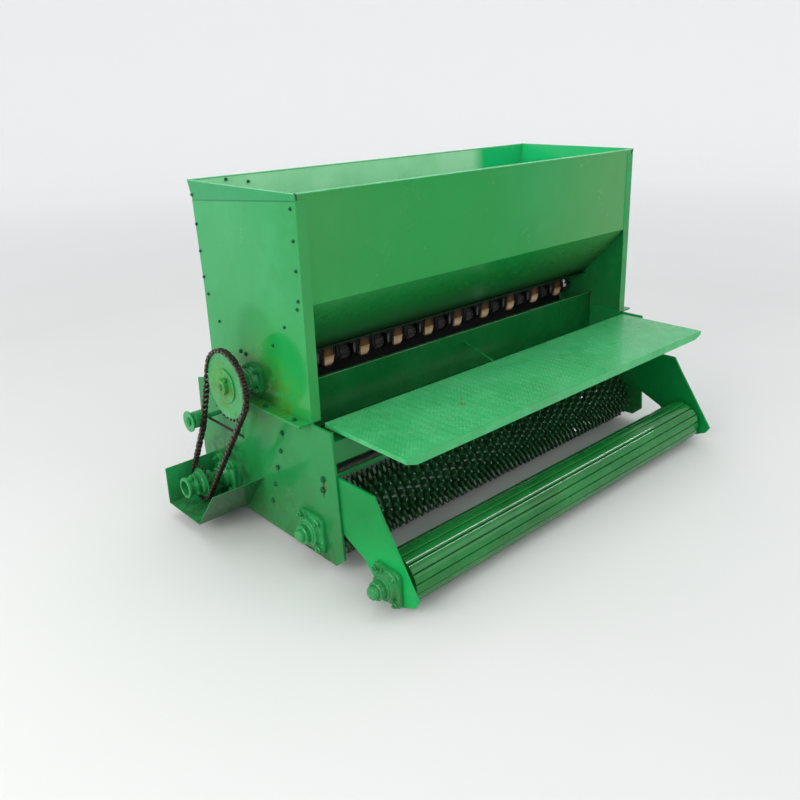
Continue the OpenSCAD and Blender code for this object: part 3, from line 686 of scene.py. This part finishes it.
b = Build()
for i in range(RINGS):
    toothed_ring(b, (i - (RINGS - 1) / 2) * RING_PITCH, (i * 0.37) % 1.0 + random.uniform(-0.04, 0.04))
b.make("toothed_ring_set", [m_teeth, m_tips], "toothed_roller", angle=32, replaces=["toothed_rings"], slot="dark_green_paint")

# spacers with a raised lip between the rings
b = Build()
for i in range(RINGS - 1):
    x = (i - (RINGS - 2) / 2) * RING_PITCH
    b.tube([(x - 13, 99.6), (x - 13, 103.0), (x - 10, 104.5), (x + 10, 104.5), (x + 13, 103.0), (x + 13, 99.6)], (TOOTH_Y, TOOTH_Z), seg=48)
b.make("toothed_ring_spacers", [m_teeth], "toothed_roller", slot="dark_green_paint")


# ---------------------------------------------------------------- axles with chamfered ends
def axle_piece(name, node, body, y, z, x0, x1, mat, ends=(True, True)):
    b = Build()
    r = 25.0
    prof = [(x0, 0.0), (x0, r - 9), (x0 + 1.6, r - 4.5), (x0 + 4.5, r - 1.4), (x0 + 9, r), (x1 - 9, r), (x1 - 4.5, r - 1.4), (x1 - 1.6, r - 4.5), (x1, r - 9), (x1, 0.0)]
    b.lathe(prof, (y, z), seg=48)
    return b.make(name, [mat], body, replaces=[node], slot="bare_steel")


axle_piece("toothed_roller_axle", "toothed_roller_shaft", "toothed_roller", TOOTH_Y, TOOTH_Z, -SHAFT_END, SHAFT_END, m_cast)
axle_piece("rear_roller_axle", "rear_roller_shaft", "rear_roller", REAR_Y, REAR_Z, -SHAFT_END, SHAFT_END, m_cast)
lo, hi = mm("front_roller_shaft")
axle_piece("front_roller_axle", "front_roller_shaft", "front_roller", FRONT_Y, FRONT_Z, lo[0], hi[0], m_cast)


# ---------------------------------------------------------------- crowned bars of the two ribbed rollers
def crowned_bars(name, node, body, y, z, r, depth, count, width, x0):
    b = Build()
    w = width / 2
    prof = [(-w, -depth - 0.3), (-w, -3.6), (-w + 1.0, -2.3), (-w * 0.82, -1.4), (-w * 0.62, -0.74), (-w * 0.4, -0.25), (-w * 0.2, -0.05), (0, 0), (w * 0.2, -0.05), (w * 0.4, -0.25), (w * 0.62, -0.74), (w * 0.82, -1.4), (w - 1.0, -2.3), (w, -3.6), (w, -depth - 0.3)]
    for k in range(count):
        t = 2 * math.pi * k / count
        c, s_ = math.cos(t), math.sin(t)
        b.prism([(y + (r + q) * c - p * s_, z + (r + q) * s_ + p * c) for p, q in prof], -x0, x0)
    return b.make(name, [m_roller], body, angle=28, replaces=[node])


crowned_bars("rear_roller_crowned_bars", "rear_roller_bars", "rear_roller", REAR_Y, REAR_Z, 98.8, 11, 16, 33.5, mm("rear_roller_bars")[1][0])
crowned_bars("front_roller_crowned_bars", "front_roller_bars", "front_roller", FRONT_Y, FRONT_Z, 157.8, 13, 20, 40, mm("front_roller_bars")[1][0])


# ---------------------------------------------------------------- flanged bearing units
def rounded_square(cy, cz, s, r, n=6):
    pts = []
    for (sy, sz, a0) in ((1, 1, 0), (-1, 1, 90), (-1, -1, 180), (1, -1, 270)):
        for k in range(n + 1):
            t = math.radians(a0 + 90 * k / n)
            pts.append((cy + sy * (s - r) + r * math.cos(t), cz + sz * (s - r) + r * math.sin(t)))
    return pts


def bearing_unit(b, xw, y, z, size, reach, shaft=25.0):
    """on the left side of a wall whose outer face is at xw"""
    h = size / 2
    k = size / 150
    b.prism(rounded_square(y, z, h, 24 * k), xw - 12.5, xw + 0.0)
    b.prism(rounded_square(y, z, h - 3, 22 * k), xw - 14, xw - 12.6)
    R = size * 0.38
    b.tube([(xw - 13, shaft + 1.5), (xw - 13, R + 8 * k), (xw - 15, R + 4.5 * k), (xw - 18, R + 2 * k), (xw - 24, R), (xw - 34, R - 1.5), (xw - 37, R - 4 * k), (xw - 38, R - 8 * k),
            (xw - 36.5, R - 10 * k), (xw - 36.5, shaft + 9.5 * k), (xw - 38.5, shaft + 8.5 * k), (xw - 38.5, shaft + 1.5)], (y, z), seg=56)
    # stepped shield and the locking collar
    c = size * 0.25
    b.tube([(xw - 37.5, R - 11 * k), (xw - 40, R - 13 * k), (xw - 43.5, c + 4 * k), (xw - 44, c + 1), (xw - 37, c + 0.5)], (y, z), seg=48)
    b.tube([(xw - 37, shaft + 0.6), (xw - 37, c - 1.5), (xw - 39, c), (xw - 47.5, c), (xw - 48.2, c - 2.2), (xw - 49.6, c - 2.2), (xw - 50.3, c), (xw - reach + 3, c), (xw - reach, c - 3), (xw - reach, shaft + 0.6)], (y, z), seg=48)
    # set screw in the collar and grease nipple on the hub
    b.lathe([(c - 2, 0), (c - 2, 5 * k), (c + 3.2, 5 * k), (c + 3.2, 2.4), (c + 1, 2.4), (c + 1, 0)], (Vector((xw - reach + 6, y, z)), Vector((0, -0.5, 0.866)), Vector((1, 0, 0)), Vector((0, 0.866, 0.5))), None, 10)
    b.lathe([(R - 3, 0), (R - 3, 5.2), (R + 4, 5.2), (R + 5, 3.0), (R + 10, 3.0), (R + 11.5, 4.2), (R + 14, 3.4), (R + 15.5, 0)], (Vector((xw - 25, y, z)), Vector((0, 0.26, 0.966)), Vector((1, 0, 0)), Vector((0, -0.966, 0.26))), None, 10)
    # bosses at the corners, and the bolts
    q = h - 20 * k
    for sy in (-1, 1):
        for sz in (-1, 1):
            cy, cz = y + sy * q, z + sz * q
            b.lathe([(xw - 13, 0), (xw - 13, 17 * k), (xw - 16.5, 16 * k), (xw - 17.5, 14.5 * k), (xw - 17.5, 0)], (cy, cz), seg=24)
            b.bolt((xw - 17.4, cy, cz), (-1, 0, 0), 13.5 * k, stub=9 * k, nut=True)


def bearing_pair(name, node, xw, y, z, size, reach, shaft=25.0):
    b = Build()
    bearing_unit(b, xw, y, z, size, reach, shaft)
    b.join(b.mirrored())
    return b.make(name, [m_cast], "frame", angle=30, replaces=[node])


bearing_pair("metering_bearing_units", "metering_bearings", -HW, METER_Y, METER_Z, 108, 56, 12.5)
bearing_pair("toothed_bearing_units", "toothed_roller_bearings", -HW, TOOTH_Y, TOOTH_Z, 150, 62)
bearing_pair("rear_bearing_units", "rear_roller_bearings", -HW + 10, REAR_Y, REAR_Z, 140, 70)
bearing_pair("front_bearing_units", "front_roller_bearings", -HW, FRONT_Y, FRONT_Z, 150, 62)


# ---------------------------------------------------------------- roller chain
def arc(c, r, a0, a1, n):
    return [(c[0] + r * math.cos(math.radians(a0 + (a1 - a0) * j / n)), c[1] + r * math.sin(math.radians(a0 + (a1 - a0) * j / n))) for j in range(n + 1)]


def touch(c1, r1, c2, r2, sd, k):
    d = (c2[0] - c1[0], c2[1] - c1[1])
    return math.degrees(math.atan2(d[1], d[0])) + sd * math.degrees(math.acos((r1 - k * r2) / math.hypot(*d)))


BIG_R = PITCH / (2 * math.sin(math.pi / BIG))
SMALL_R = PITCH / (2 * math.sin(math.pi / SMALL))
IDLER_LINE = 34.5 + 0.6 + LINK_H
B_, S_, I_ = (METER_Y, METER_Z), (FRONT_Y, FRONT_Z), (IDLER_Y, IDLER_Z)
t1 = touch(B_, BIG_R, I_, IDLER_LINE, 1, -1)
t2 = touch(I_, IDLER_LINE, S_, SMALL_R, -1, -1)
t3 = touch(B_, BIG_R, S_, SMALL_R, -1, 1)
path = arc(B_, BIG_R, t1, t3 + 360, 160) + arc(S_, SMALL_R, t3 + 360, t2 + 540, 90) + arc(I_, IDLER_LINE, t2 + 360, t1 + 180, 12)
path.append(path[0])
cum = [0.0]
for p, q in zip(path, path[1:]):
    cum.append(cum[-1] + math.hypot(q[0] - p[0], q[1] - p[1]))
total = cum[-1]
links = int(round(total / PITCH / 2)) * 2


def along(s):
    s %= total
    lo_, hi_ = 0, len(cum) - 1
    while hi_ - lo_ > 1:
        mid = (lo_ + hi_) // 2
        if cum[mid] <= s:
            lo_ = mid
        else:
            hi_ = mid
    f = (s - cum[lo_]) / max(1e-9, cum[hi_] - cum[lo_])
    return (path[lo_][0] + (path[hi_][0] - path[lo_][0]) * f, path[lo_][1] + (path[hi_][1] - path[lo_][1]) * f)


# the first roller lies in a tooth gap of the big sprocket
tooth = 360 / BIG
head = math.degrees(math.atan2(FRONT_Z - METER_Z, FRONT_Y - METER_Y))
mid_a = (t1 + t3 + 360) / 2
k0 = round((mid_a - head) / tooth - 0.5) + 0.5
s0 = math.radians(head + k0 * tooth - t1) * BIG_R
pins = [along(s0 + total * k / links) for k in range(links)]
b = Build()


def link_plate(b, A, C, x0, x1, r, waist, mat):
    L = math.hypot(C[0] - A[0], C[1] - A[1])
    e = ((C[0] - A[0]) / L, (C[1] - A[1]) / L)
    n = (-e[1], e[0])
    pts = []
    for k in range(7):
        t = math.radians(112 + (248 - 112) * k / 6)
        pts.append((r * math.cos(t), r * math.sin(t)))
    pts.append((L / 2, -waist))
    for k in range(7):
        t = math.radians(-68 + 136 * k / 6)
        pts.append((L + r * math.cos(t), r * math.sin(t)))
    pts.append((L / 2, waist))
    b.prism([(A[0] + e[0] * p + n[0] * q, A[1] + e[1] * p + n[1] * q) for p, q in pts], x0, x1, mat)


for k in range(links):
    A, C = pins[k], pins[(k + 1) % links]
    if k % 2:
        link_plate(b, A, C, CHAIN_X - 8.7, CHAIN_X - 6.6, 8.8, 6.4, 0)
        link_plate(b, A, C, CHAIN_X + 6.6, CHAIN_X + 8.7, 8.8, 6.4, 0)
    else:
        link_plate(b, A, C, CHAIN_X - 11.0, CHAIN_X - 9.0, 8.4, 6.0, 0)
        link_plate(b, A, C, CHAIN_X + 9.0, CHAIN_X + 11.0, 8.4, 6.0, 0)
    b.lathe([(CHAIN_X - 6.5, 0), (CHAIN_X - 6.5, 7.0), (CHAIN_X + 6.5, 7.0), (CHAIN_X + 6.5, 0)], A, seg=14)
    b.lathe([(CHAIN_X - 12.6, 0), (CHAIN_X - 12.6, 2.6), (CHAIN_X - 12.0, 3.9), (CHAIN_X - 10.9, 3.9), (CHAIN_X - 10.9, 0)], A, seg=10, mat=1)
    b.lathe([(CHAIN_X + 12.6, 0), (CHAIN_X + 12.6, 2.6), (CHAIN_X + 12.0, 3.9), (CHAIN_X + 10.9, 3.9), (CHAIN_X + 10.9, 0)], A, seg=10, mat=1)
b.make("roller_chain", [m_chain, m_pin], "frame", angle=40, replaces=["drive_chain"], slot="oily_steel")

# ---------------------------------------------------------------- sprocket hubs, sleeve and idler fittings
b = Build()
for k in range(6):
    t = math.radians(60 * k + 12)
    b.bolt((CHAIN_X - 4.0, METER_Y + 54 * math.cos(t), METER_Z + 54 * math.sin(t)), (-1, 0, 0), 9)
b.tube([(CHAIN_X - 10, 31), (CHAIN_X - 10, 66), (CHAIN_X - 8.5, 68), (CHAIN_X - 3.9, 68), (CHAIN_X - 3.9, 31)], (METER_Y, METER_Z), seg=48)
b.bolt((CHAIN_X - 26, METER_Y, METER_Z), (-1, 0, 0), 12, stub=3)
b.lathe([(29, 0), (29, 6.5), (41, 6.5), (42.5, 5), (42.5, 0)], (Vector((CHAIN_X - 18, METER_Y, METER_Z)), Vector((0, -0.6, 0.8)), Vector((1, 0, 0)), Vector((0, 0.8, 0.6))), None, 6)
b.make("sprocket_hub_fittings", [m_sprocket], "metering", angle=30)

b = Build()
lo, hi = mm("drive_sleeve")
x0 = lo[0]
# rolled lips and collars of the sleeve, its clamp bolt and keeper
b.tube([(x0 - 0.4, 33.4), (x0 - 2.2, 35.2), (x0 - 2.2, 41.5), (x0 + 0.2, 44.6), (x0 + 8, 44.6), (x0 + 10, 43), (x0 + 10, 39)], (FRONT_Y, FRONT_Z), seg=56)
b.tube([(x0 + 30, 38.8), (x0 + 30, 43.0), (x0 + 33, 44.5), (x0 + 44, 44.5), (x0 + 46, 43), (x0 + 46, 38.8)], (FRONT_Y, FRONT_Z), seg=56)
for (ay, az) in ((-0.35, 0.94),):
    d = Vector((0, ay, az)).normalized()
    pos = Vector((x0 + 22, FRONT_Y, FRONT_Z)) + d * 38
    b.lathe([(-1, 0), (-1, 11), (6, 11), (7, 9.5), (7, 0)], (pos, d, Vector((1, 0, 0)), d.cross(Vector((1, 0, 0)))), None, 20)
    b.bolt(pos + d * 6.5, d, 11, stub=10)
d = Vector((0, -0.92, -0.38)).normalized()
b.bolt(Vector((x0 + 38, FRONT_Y, FRONT_Z)) + d * 44, d, 9, stub=4)
b.tube([(CHAIN_X - 20, 40), (CHAIN_X - 20, 50), (CHAIN_X - 17, 53), (CHAIN_X - 4.2, 54.5), (CHAIN_X - 4.2, 40)], (FRONT_Y, FRONT_Z), seg=48)
for k in range(4):
    t = math.radians(90 * k + 35)
    b.bolt((CHAIN_X - 18.5, FRONT_Y + 47 * math.cos(t), FRONT_Z + 47 * math.sin(t)), (-1, 0, 0), 7, washer=False)
b.make("drive_sleeve_fittings", [m_cast], "front_roller", angle=30)

b = Build()
lo, hi = mm("idler_stud")
b.tube([(lo[0] + 1.5, 10.2), (lo[0] + 1.5, 17), (lo[0] + 3, 18), (lo[0] + 7.0, 18), (lo[0] + 8.6, 16.5), (lo[0] + 8.6, 10.2)], (IDLER_Y, IDLER_Z), seg=36)
b.lathe([(lo[0] - 1.2, 0), (lo[0] - 1.2, 6), (lo[0] + 0.6, 8.6), (lo[0] + 2.0, 8.6), (lo[0] + 2.0, 0)], (IDLER_Y, IDLER_Z), seg=24)
b.tube([(-HW - 6, 22.1), (-HW - 6, 34), (-HW - 3, 36), (-HW + 0.0, 36), (-HW + 0.0, 22.1)], (IDLER_Y, IDLER_Z), seg=40)
for k in range(3):
    t = math.radians(120 * k + 30)
    b.bolt((-HW - 6, IDLER_Y + 29 * math.cos(t), IDLER_Z + 29 * math.sin(t)), (-1, 0, 0), 5.5, washer=False)
b.tube([(-HW - 26, 10.2), (-HW - 26, 20), (-HW - 24.2, 22.4), (-HW - 22, 22.4), (-HW - 22, 10.2)], (IDLER_Y, IDLER_Z), seg=36)
b.make("idler_stud_fittings", [m_cast], "frame", angle=30)

# ---------------------------------------------------------------- metering row
UNITS, UNIT_PITCH = 10, 190
blk, crm, rolls = Build(), Build(), Build()


def body_outline(y, z, r, top):
    pts = [(y - r, top), (y - r, z + 6)]
    pts += [(y + r * math.cos(math.radians(180 + a)), z + 6 + r * math.sin(math.radians(180 + a))) for a in range(15, 180, 15)]
    return pts + [(y + r, z + 6), (y + r, top)]


for i in range(UNITS):
    x = (i - (UNITS - 1) / 2) * UNIT_PITCH - 95
    y, z = METER_Y, METER_Z
    # neck under the floor, in two halves with a seam
    blk.box(x + 3, x + 84.5, y - 38, y + 40, 718, 755.5)
    blk.box(x + 85.5, x + 187, y - 38, y + 40, 718, 755.5)
    for k in range(9):
        xr = x + 6 + k * 21.6
        blk.box(xr, xr + 4, y - 42, y - 37, 719, 754)
    # round body on both sides of the cup, with ribs
    for (xa, xb) in ((x + 23, x + 57), (x + 113, x + 147)):
        blk.prism(body_outline(y, z, 38, 719), xa + 3, xb - 3)
        for k in range(4):
            xr = xa + (xb - xa - 3.4) * k / 3
            blk.prism(body_outline(y, z, 41.5, 717), xr, xr + 3.4)
        blk.bolt(((xa + xb) / 2, y - 38, z + 26), (0, -1, 0), 5.5, mat=0)
    blk.box(x + 57, x + 113, y - 30, y + 38, z + 33, 719)
    # post of the shutter beside the cup, and its lever
    blk.box(x + 22.5, x + 33, y - 45, y - 39, z + 12, z + 40, 1)
    blk.box(x + 24, x + 31, y - 46, y - 40, z - 2, z + 12, 1)
    blk.prism([(y - 41, z + 60), (y - 47, z + 34), (y - 49, z + 6), (y - 45, z + 5), (y - 43, z + 34), (y - 37, z + 58)], x + 124, x + 129)
    # cup: tapered, with a lip, and the darker chute over it, whose brown is partly its own colour and partly painted
    # shade under the slope
    cx0, cx1 = x + 60, x + 110
    v = []
    for (zz, g, gy) in ((z + 13, 0.0, 0.0), (z + 6, 0.0, 0.0), (z - 17, 2.5, 3.0), (z - 27, 7.0, 10.0)):
        v.append([(cx0 + g, y - 45 + gy, zz), (cx1 - g, y - 45 + gy, zz), (cx1 - g, y + 44 - gy, zz), (cx0 + g, y + 44 - gy, zz)])
    flat = [p for q in v for p in q]
    faces = [(0, 1, 2, 3), (15, 14, 13, 12)]
    for k in range(3):
        for j in range(4):
            j2 = (j + 1) % 4
            faces.append((k * 4 + j, (k + 1) * 4 + j, (k + 1) * 4 + j2, k * 4 + j2))
    crm.add(flat, faces, 0)
    crm.box(x + 58.5, x + 111.5, y - 46.0, y + 45, z + 10, z + 14, 0)
    crm.box(x + 61, x + 109, y - 43, y - 31, z + 15, z + 72, 1)
    crm.box(x + 66, x + 71, y - 45, y - 42, z + 16, z + 70, 1)
    crm.box(x + 99, x + 104, y - 45, y - 42, z + 16, z + 70, 1)
    crm.box(x + 66, x + 104, y - 40, y + 30, z - 30, z - 26, 1)
    # fluted roll beside the housing, with end flanges
    flutes = []
    for k in range(12):
        for (pa, r) in ((-0.34, 24.5), (-0.24, 29.5), (-0.12, 31.0), (0.12, 31.0), (0.24, 29.5), (0.34, 24.5)):
            t = math.radians(30 * (k + pa))
            flutes.append((y + r * math.cos(t), z + r * math.sin(t)))
    rolls.prism(flutes, x + 160, x + 200, 0)
    rolls.tube([(x + 156.5, 12.7), (x + 156.5, 30), (x + 158, 31.8), (x + 160.5, 31.8), (x + 160.5, 12.7)], (y, z), seg=32)
    rolls.tube([(x + 199.5, 12.7), (x + 199.5, 31.8), (x + 202, 31.8), (x + 203.5, 30), (x + 203.5, 12.7)], (y, z), seg=32)
blk.make("metering_bodies", [m_black, m_grey], "frame", angle=30, bevel=0.8, replaces=["metering_housings"], slot="black_plastic", segs=1)
crm.make("metering_spouts", [m_cream, m_tan], "frame", angle=30, bevel=2.0, replaces=["metering_cups"], slot="cream_plastic")
rolls.make("metering_feed_rolls", [m_roll], "metering", angle=30, replaces=["feed_rolls"], slot="black_plastic")
b = Build()
b.box(888, 914, METER_Y - 38, METER_Y - 33, 680, 728)
b.bolt((897, METER_Y - 38, 716), (0, -1, 0), 11, mat=1)
b.bolt((905, METER_Y - 38, 692), (0, -1, 0), 11, mat=1)
b.make("metering_end_plate", [m_black, m_white], "frame", angle=30, bevel=0.8, slot="black_plastic")

# ---------------------------------------------------------------- bolts of the seed box and the side plates
bx = Build()
front_col = [(693, 1238), (687, 1131), (681, 1026), (660, 958), (594, 856)]
rear_col = [(31, 1357), (28, 1249), (25, 1146), (26, 1039), (35, 1008), (125, 926), (211, 839)]
for s_ in (-1, 1):
    xo = s_ * HW
    for (y, z) in front_col + rear_col:
        y = max(y, 18)
        bx.bolt((xo, y, z), (s_, 0, 0), 6.4, stub=2.2)
    lean = math.tan(math.radians(8))
    bx.bolt((s_ * (HW + 20 * lean + 0.3), 699, 1352), (s_, 0, 0.14), 6.4, stub=2.2)
    for (y, z) in ((450, 763), (414, 759)):
        bx.bolt((xo, y, z), (s_, 0, 0), 8.5, stub=2.0)
    # foot bolts, end plate foot to side plate foot
    for y in (60, 250, 440, 640):
        bx.bolt((s_ * (HW + 34), y, 594), (0, 0, 1), 9.5, stub=3)
        bx.bolt((s_ * (HW + 34), y, 584), (0, 0, -1), 9.5, nut=True, stub=5)
    for (y, z) in ((200, 490), (222, 406), (253, 325), (282, 240), (311, 157)):
        bx.bolt((xo, y, z), (s_, 0, 0), 10, stub=2.5)
    for (y, z) in ((-49, 382), (-45, 338)):
        bx.bolt((xo, y, z), (s_, 0, 0), 12, stub=3)
        bx.bolt((s_ * (HW - 20), y, z), (-s_, 0, 0), 12, nut=True, stub=6)
for (x, z) in ((-845, 1396), (-744, 1378)):
    bx.bolt((x, mm("hopper_front_wall")[1][1] - 4.5 - (1412 - z) * 0.056, z), (0, -1, 0.06), 6.8)
bx.make("frame_bolts", [m_bolt_shaded], "frame", angle=30)

# hemmed rims of the four walls, in a lighter paint as a painted highlight
b = Build()
rim_y = mm("hopper_front_wall")[1][1]
for y in (5.5, rim_y - 1.6):
    b.lathe([(-HW + 5, 0), (-HW + 5, 3.4), (HW - 5, 3.4), (HW - 5, 0)], (y, 1408.6), seg=16)
for s_ in (-1, 1):
    lo, hi = Vector((s_ * (HW + 2.0), 3, 1409.5)), Vector((s_ * (HW + 9.0), rim_y - 3, 1409.5))
    d = (hi - lo).normalized()
    b.lathe([(0, 0), (0, 2.6), ((hi - lo).length, 2.6), ((hi - lo).length, 0)], (lo, d, Vector((0, 0, 1)), d.cross(Vector((0, 0, 1)))), None, 12)
# a thin black piece in each rear corner stands for the shade in the notch between the end strip and the rear wall:
# painted shade
for s_ in (-1, 1):
    b.box(min(s_ * 999.4, s_ * 991), max(s_ * 999.4, s_ * 991), 2.4, 4.6, 1382, 1408.4, 1)
b.make("rim_hems", [m_rim_highlight, m_black], "frame", angle=60)

# ---------------------------------------------------------------- footboard tread
b = Build()
lo, hi = mm("footboard")
z = hi[2]
row = 0
y = lo[1] + 16
while y < hi[1] - 10:
    x = lo[0] + 16 + (9.25 if row % 2 else 0)
    col = 0
    while x < hi[0] - 12:
        t = math.radians(45 if (col + row) % 2 else -45)
        c, s_ = math.cos(t), math.sin(t)
        L, W, H = 7.2, 2.2, 0.75
        t += random.uniform(-0.15, 0.15)
        base = [(-L, 0), (-L * 0.45, -W), (L * 0.45, -W), (L, 0), (L * 0.45, W), (-L * 0.45, W)]
        top = [(-L * 0.6, 0), (L * 0.6, 0)]
        v = [(x + p * c - q * s_, y + p * s_ + q * c, z - 0.2) for p, q in base] + [(x + p * c - q * s_, y + p * s_ + q * c, z + H) for p, q in top]
        b.add(v, [(0, 1, 6), (1, 2, 7, 6), (2, 3, 7), (3, 4, 7), (4, 5, 6, 7), (5, 0, 6)])
        x += 18.5
        col += 1
    y += 9.25
    row += 1
b.make("footboard_tread", [m_tread], "frame", angle=50)

# worn top edge of the guard panel
b = Build()
lo, hi = mm("seed_guard_panel")
b.box(-HW + 13, HW - 13, lo[1] - 0.25, lo[1] + 1.6, hi[2] - 2.2, hi[2] + 0.15)
b.make("guard_edge", [m_edge], "frame", bevel=0.3, segs=1)

# ---------------------------------------------------------------- welds
b = Build()
for s_ in (-1, 1):
    b.bead((s_ * (HW - 10), -100, 450), (s_ * (HW - 10), -30, 450), 3)
    b.bead((s_ * (HW - 10), -100, 450), (s_ * (HW - 10), -100, 540), 3)
    b.bead((s_ * (HW - 10), 740, 430), (s_ * (HW - 10), 740, 530), 3.4)
    b.bead((s_ * (HW - 10), 740, 430), (s_ * (HW - 10), 840, 430), 3.4)
    b.bead((s_ * 42, 746, 530.5), (s_ * 42, 838, 530.5), 3.6)
    b.bead((s_ * 30, 746, 530.5), (s_ * 30, 838, 530.5), 3.6)
    b.bead((s_ * 412.5, 841, 432), (s_ * 412.5, 841, 528), 3.6)
    b.bead((s_ * 396.5, 841, 432), (s_ * 396.5, 841, 450), 3.6)
    b.bead((s_ * 42.5, 852.5, 834), (s_ * 42.5, 852.5, 896), 3.2)
for x in (-700, -235, 235, 700):
    for dx in (-3.2, 3.2):
        b.bead((x + dx, -32, 580.5), (x + dx, -430, 580.5), 2.4, step=4.5)
        b.bead((x + dx, -100.5, 482), (x + dx, -100.5, 538), 2.4)
# tray to the side plate
b.bead((-HW - 1, 368, 238), (-HW - 1, 512, 62), 2.6, step=4)
b.bead((-HW - 1, 514, 62), (-HW - 1, 768, 62), 2.6, step=4)
b.bead((-HW - 1, 767, 64), (-HW - 1, 767, 220), 2.6, step=4)
b.make("frame_welds", [m_frame], "frame", angle=60)

# welded stub plates on the roller ends
for (nm, body, y, z, r) in (("rear_roller_end_welds", "rear_roller", REAR_Y, REAR_Z, 86.5), ("front_roller_end_welds", "front_roller", FRONT_Y, FRONT_Z, 143)):
    b = Build()
    for s_ in (-1, 1):
        x = s_ * 938
        b.tube([(x, 25.1), (x + s_ * 1.2, 33), (x + s_ * 4, 30.5), (x + s_ * 7.5, 27.5), (x + s_ * 9, 25.1)], (y, z), seg=40)
        prev = None
        for k in range(49):
            t = 2 * math.pi * k / 48
            p = (x + s_ * 1.0, y + (r - 9) * math.cos(t), z + (r - 9) * math.sin(t))
            if prev:
                b.bead(prev, p, 2.6, step=5.0)
            prev = p
    b.make(nm, [m_roller], body, angle=60)

# ---------------------------------------------------------------- hitch fittings
b = Build()
for s_ in (-1, 1):
    lo, hi = mm("hitch_pins")
    y, z = 940, 440
    b.tube([(s_ * 412.5, 14.1), (s_ * 412.5, 27), (s_ * 415, 29), (s_ * 424, 29), (s_ * 426, 27), (s_ * 426, 14.1)], (y, z), seg=36)
    b.lathe([(-14.5, 0), (-14.5, 5.4), (17, 5.4), (19, 4), (19, 0)], (Vector((s_ * 502, y, z)), Vector((0, 0, 1)), Vector((1, 0, 0)), Vector((0, 1, 0))), None, 14)
    b.tube([(s_ * 42, 13.0), (s_ * 42, 24), (s_ * 43.5, 26), (s_ * 48, 26), (s_ * 49.5, 24), (s_ * 49.5, 13.0)], (910, 1050), seg=36)
b.make("hitch_fittings", [m_steel], "frame", angle=30, slot="bare_steel")

# ---------------------------------------------------------------- stage
fl = Build()
prof = [(0.0, 0.02)]
pts = []
R = 13.0
for k in range(13):
    t = math.pi / 2 * k / 12
    pts.append((R + 3.0 * math.sin(t), 3.0 - 3.0 * math.cos(t)))
pts.append((R + 3.0, 7.0))
verts, faces = [(0, 0, 0)], []
SEG = 96
for (r, z) in pts:
    for k in range(SEG):
        t = 2 * math.pi * k / SEG
        verts.append((r * math.cos(t), r * math.sin(t), z))
faces += [[0, 1 + k, 1 + (k + 1) % SEG] for k in range(SEG)]
for j in range(len(pts) - 1):
    for k in range(SEG):
        k2 = (k + 1) % SEG
        a, c = 1 + j * SEG, 1 + (j + 1) * SEG
        faces.append([a + k, c + k, c + k2, a + k2])
me = bpy.data.meshes.new("studio_floor")
me.from_pydata(verts, [], faces)
for p in me.polygons:
    p.use_smooth = True
floor = bpy.data.objects.new("studio_floor", me)
floor.location = (0, 0, -0.0006)
bpy.context.scene.collection.objects.link(floor)
m = Mat("pale_floor")
far = m.node("ShaderNodeVectorMath", operation="LENGTH")
m.plug(m.co, far.inputs[0])
near_c = m.mix(m.noise(0.8, 3), (0.70, 0.70, 0.69), (0.73, 0.73, 0.72))
m.out(Base_Color=m.mix(m.ramp(far.outputs["Value"], 4.0, 12.0), near_c, (0.96, 0.96, 0.96)), Roughness=0.85)
me.materials.append(m.m)

# ---------------------------------------------------------------- light
w = bpy.data.worlds.new("studio")
bpy.context.scene.world = w
w.use_nodes = True
w.node_tree.nodes["Background"].inputs["Color"].default_value = (0.96, 0.98, 1.0, 1)
w.node_tree.nodes["Background"].inputs["Strength"].default_value = 0.86


def area(name, loc, target, size, power, color=(1, 1, 1), sy=None):
    l = bpy.data.lights.new(name, "AREA")
    l.shape = "RECTANGLE"
    l.size = size
    l.size_y = sy or size
    l.energy = power
    l.color = color
    o = bpy.data.objects.new(name, l)
    o.location = loc
    o.rotation_euler = (Vector(target) - Vector(loc)).to_track_quat("-Z", "Y").to_euler()
    o.visible_camera = False
    bpy.context.scene.collection.objects.link(o)
    return o


area("key", (-6.6, -0.6, 3.4), (0, 0, 0.9), 4.0, 230, (1.0, 0.99, 0.96), sy=3.0)
area("top", (0.3, 0.6, 6.0), (0, 0.2, 0.6), 4.0, 60, (0.97, 0.99, 1.0))
area("panel", (2.6, -8.0, 4.0), (0, 0, 0.9), 9.0, 150, (1.0, 1.0, 1.0), sy=5.0)
area("strip", (2.4, -1.45, 3.3), (2.4, -0.65, 0.2), 5.0, 100, (0.96, 1.0, 1.0), sy=0.22).visible_diffuse = False
bpy.context.scene.view_settings.view_transform = "Standard"
bpy.context.scene.view_settings.look = "None"
bpy.context.scene.view_settings.exposure = 0.0
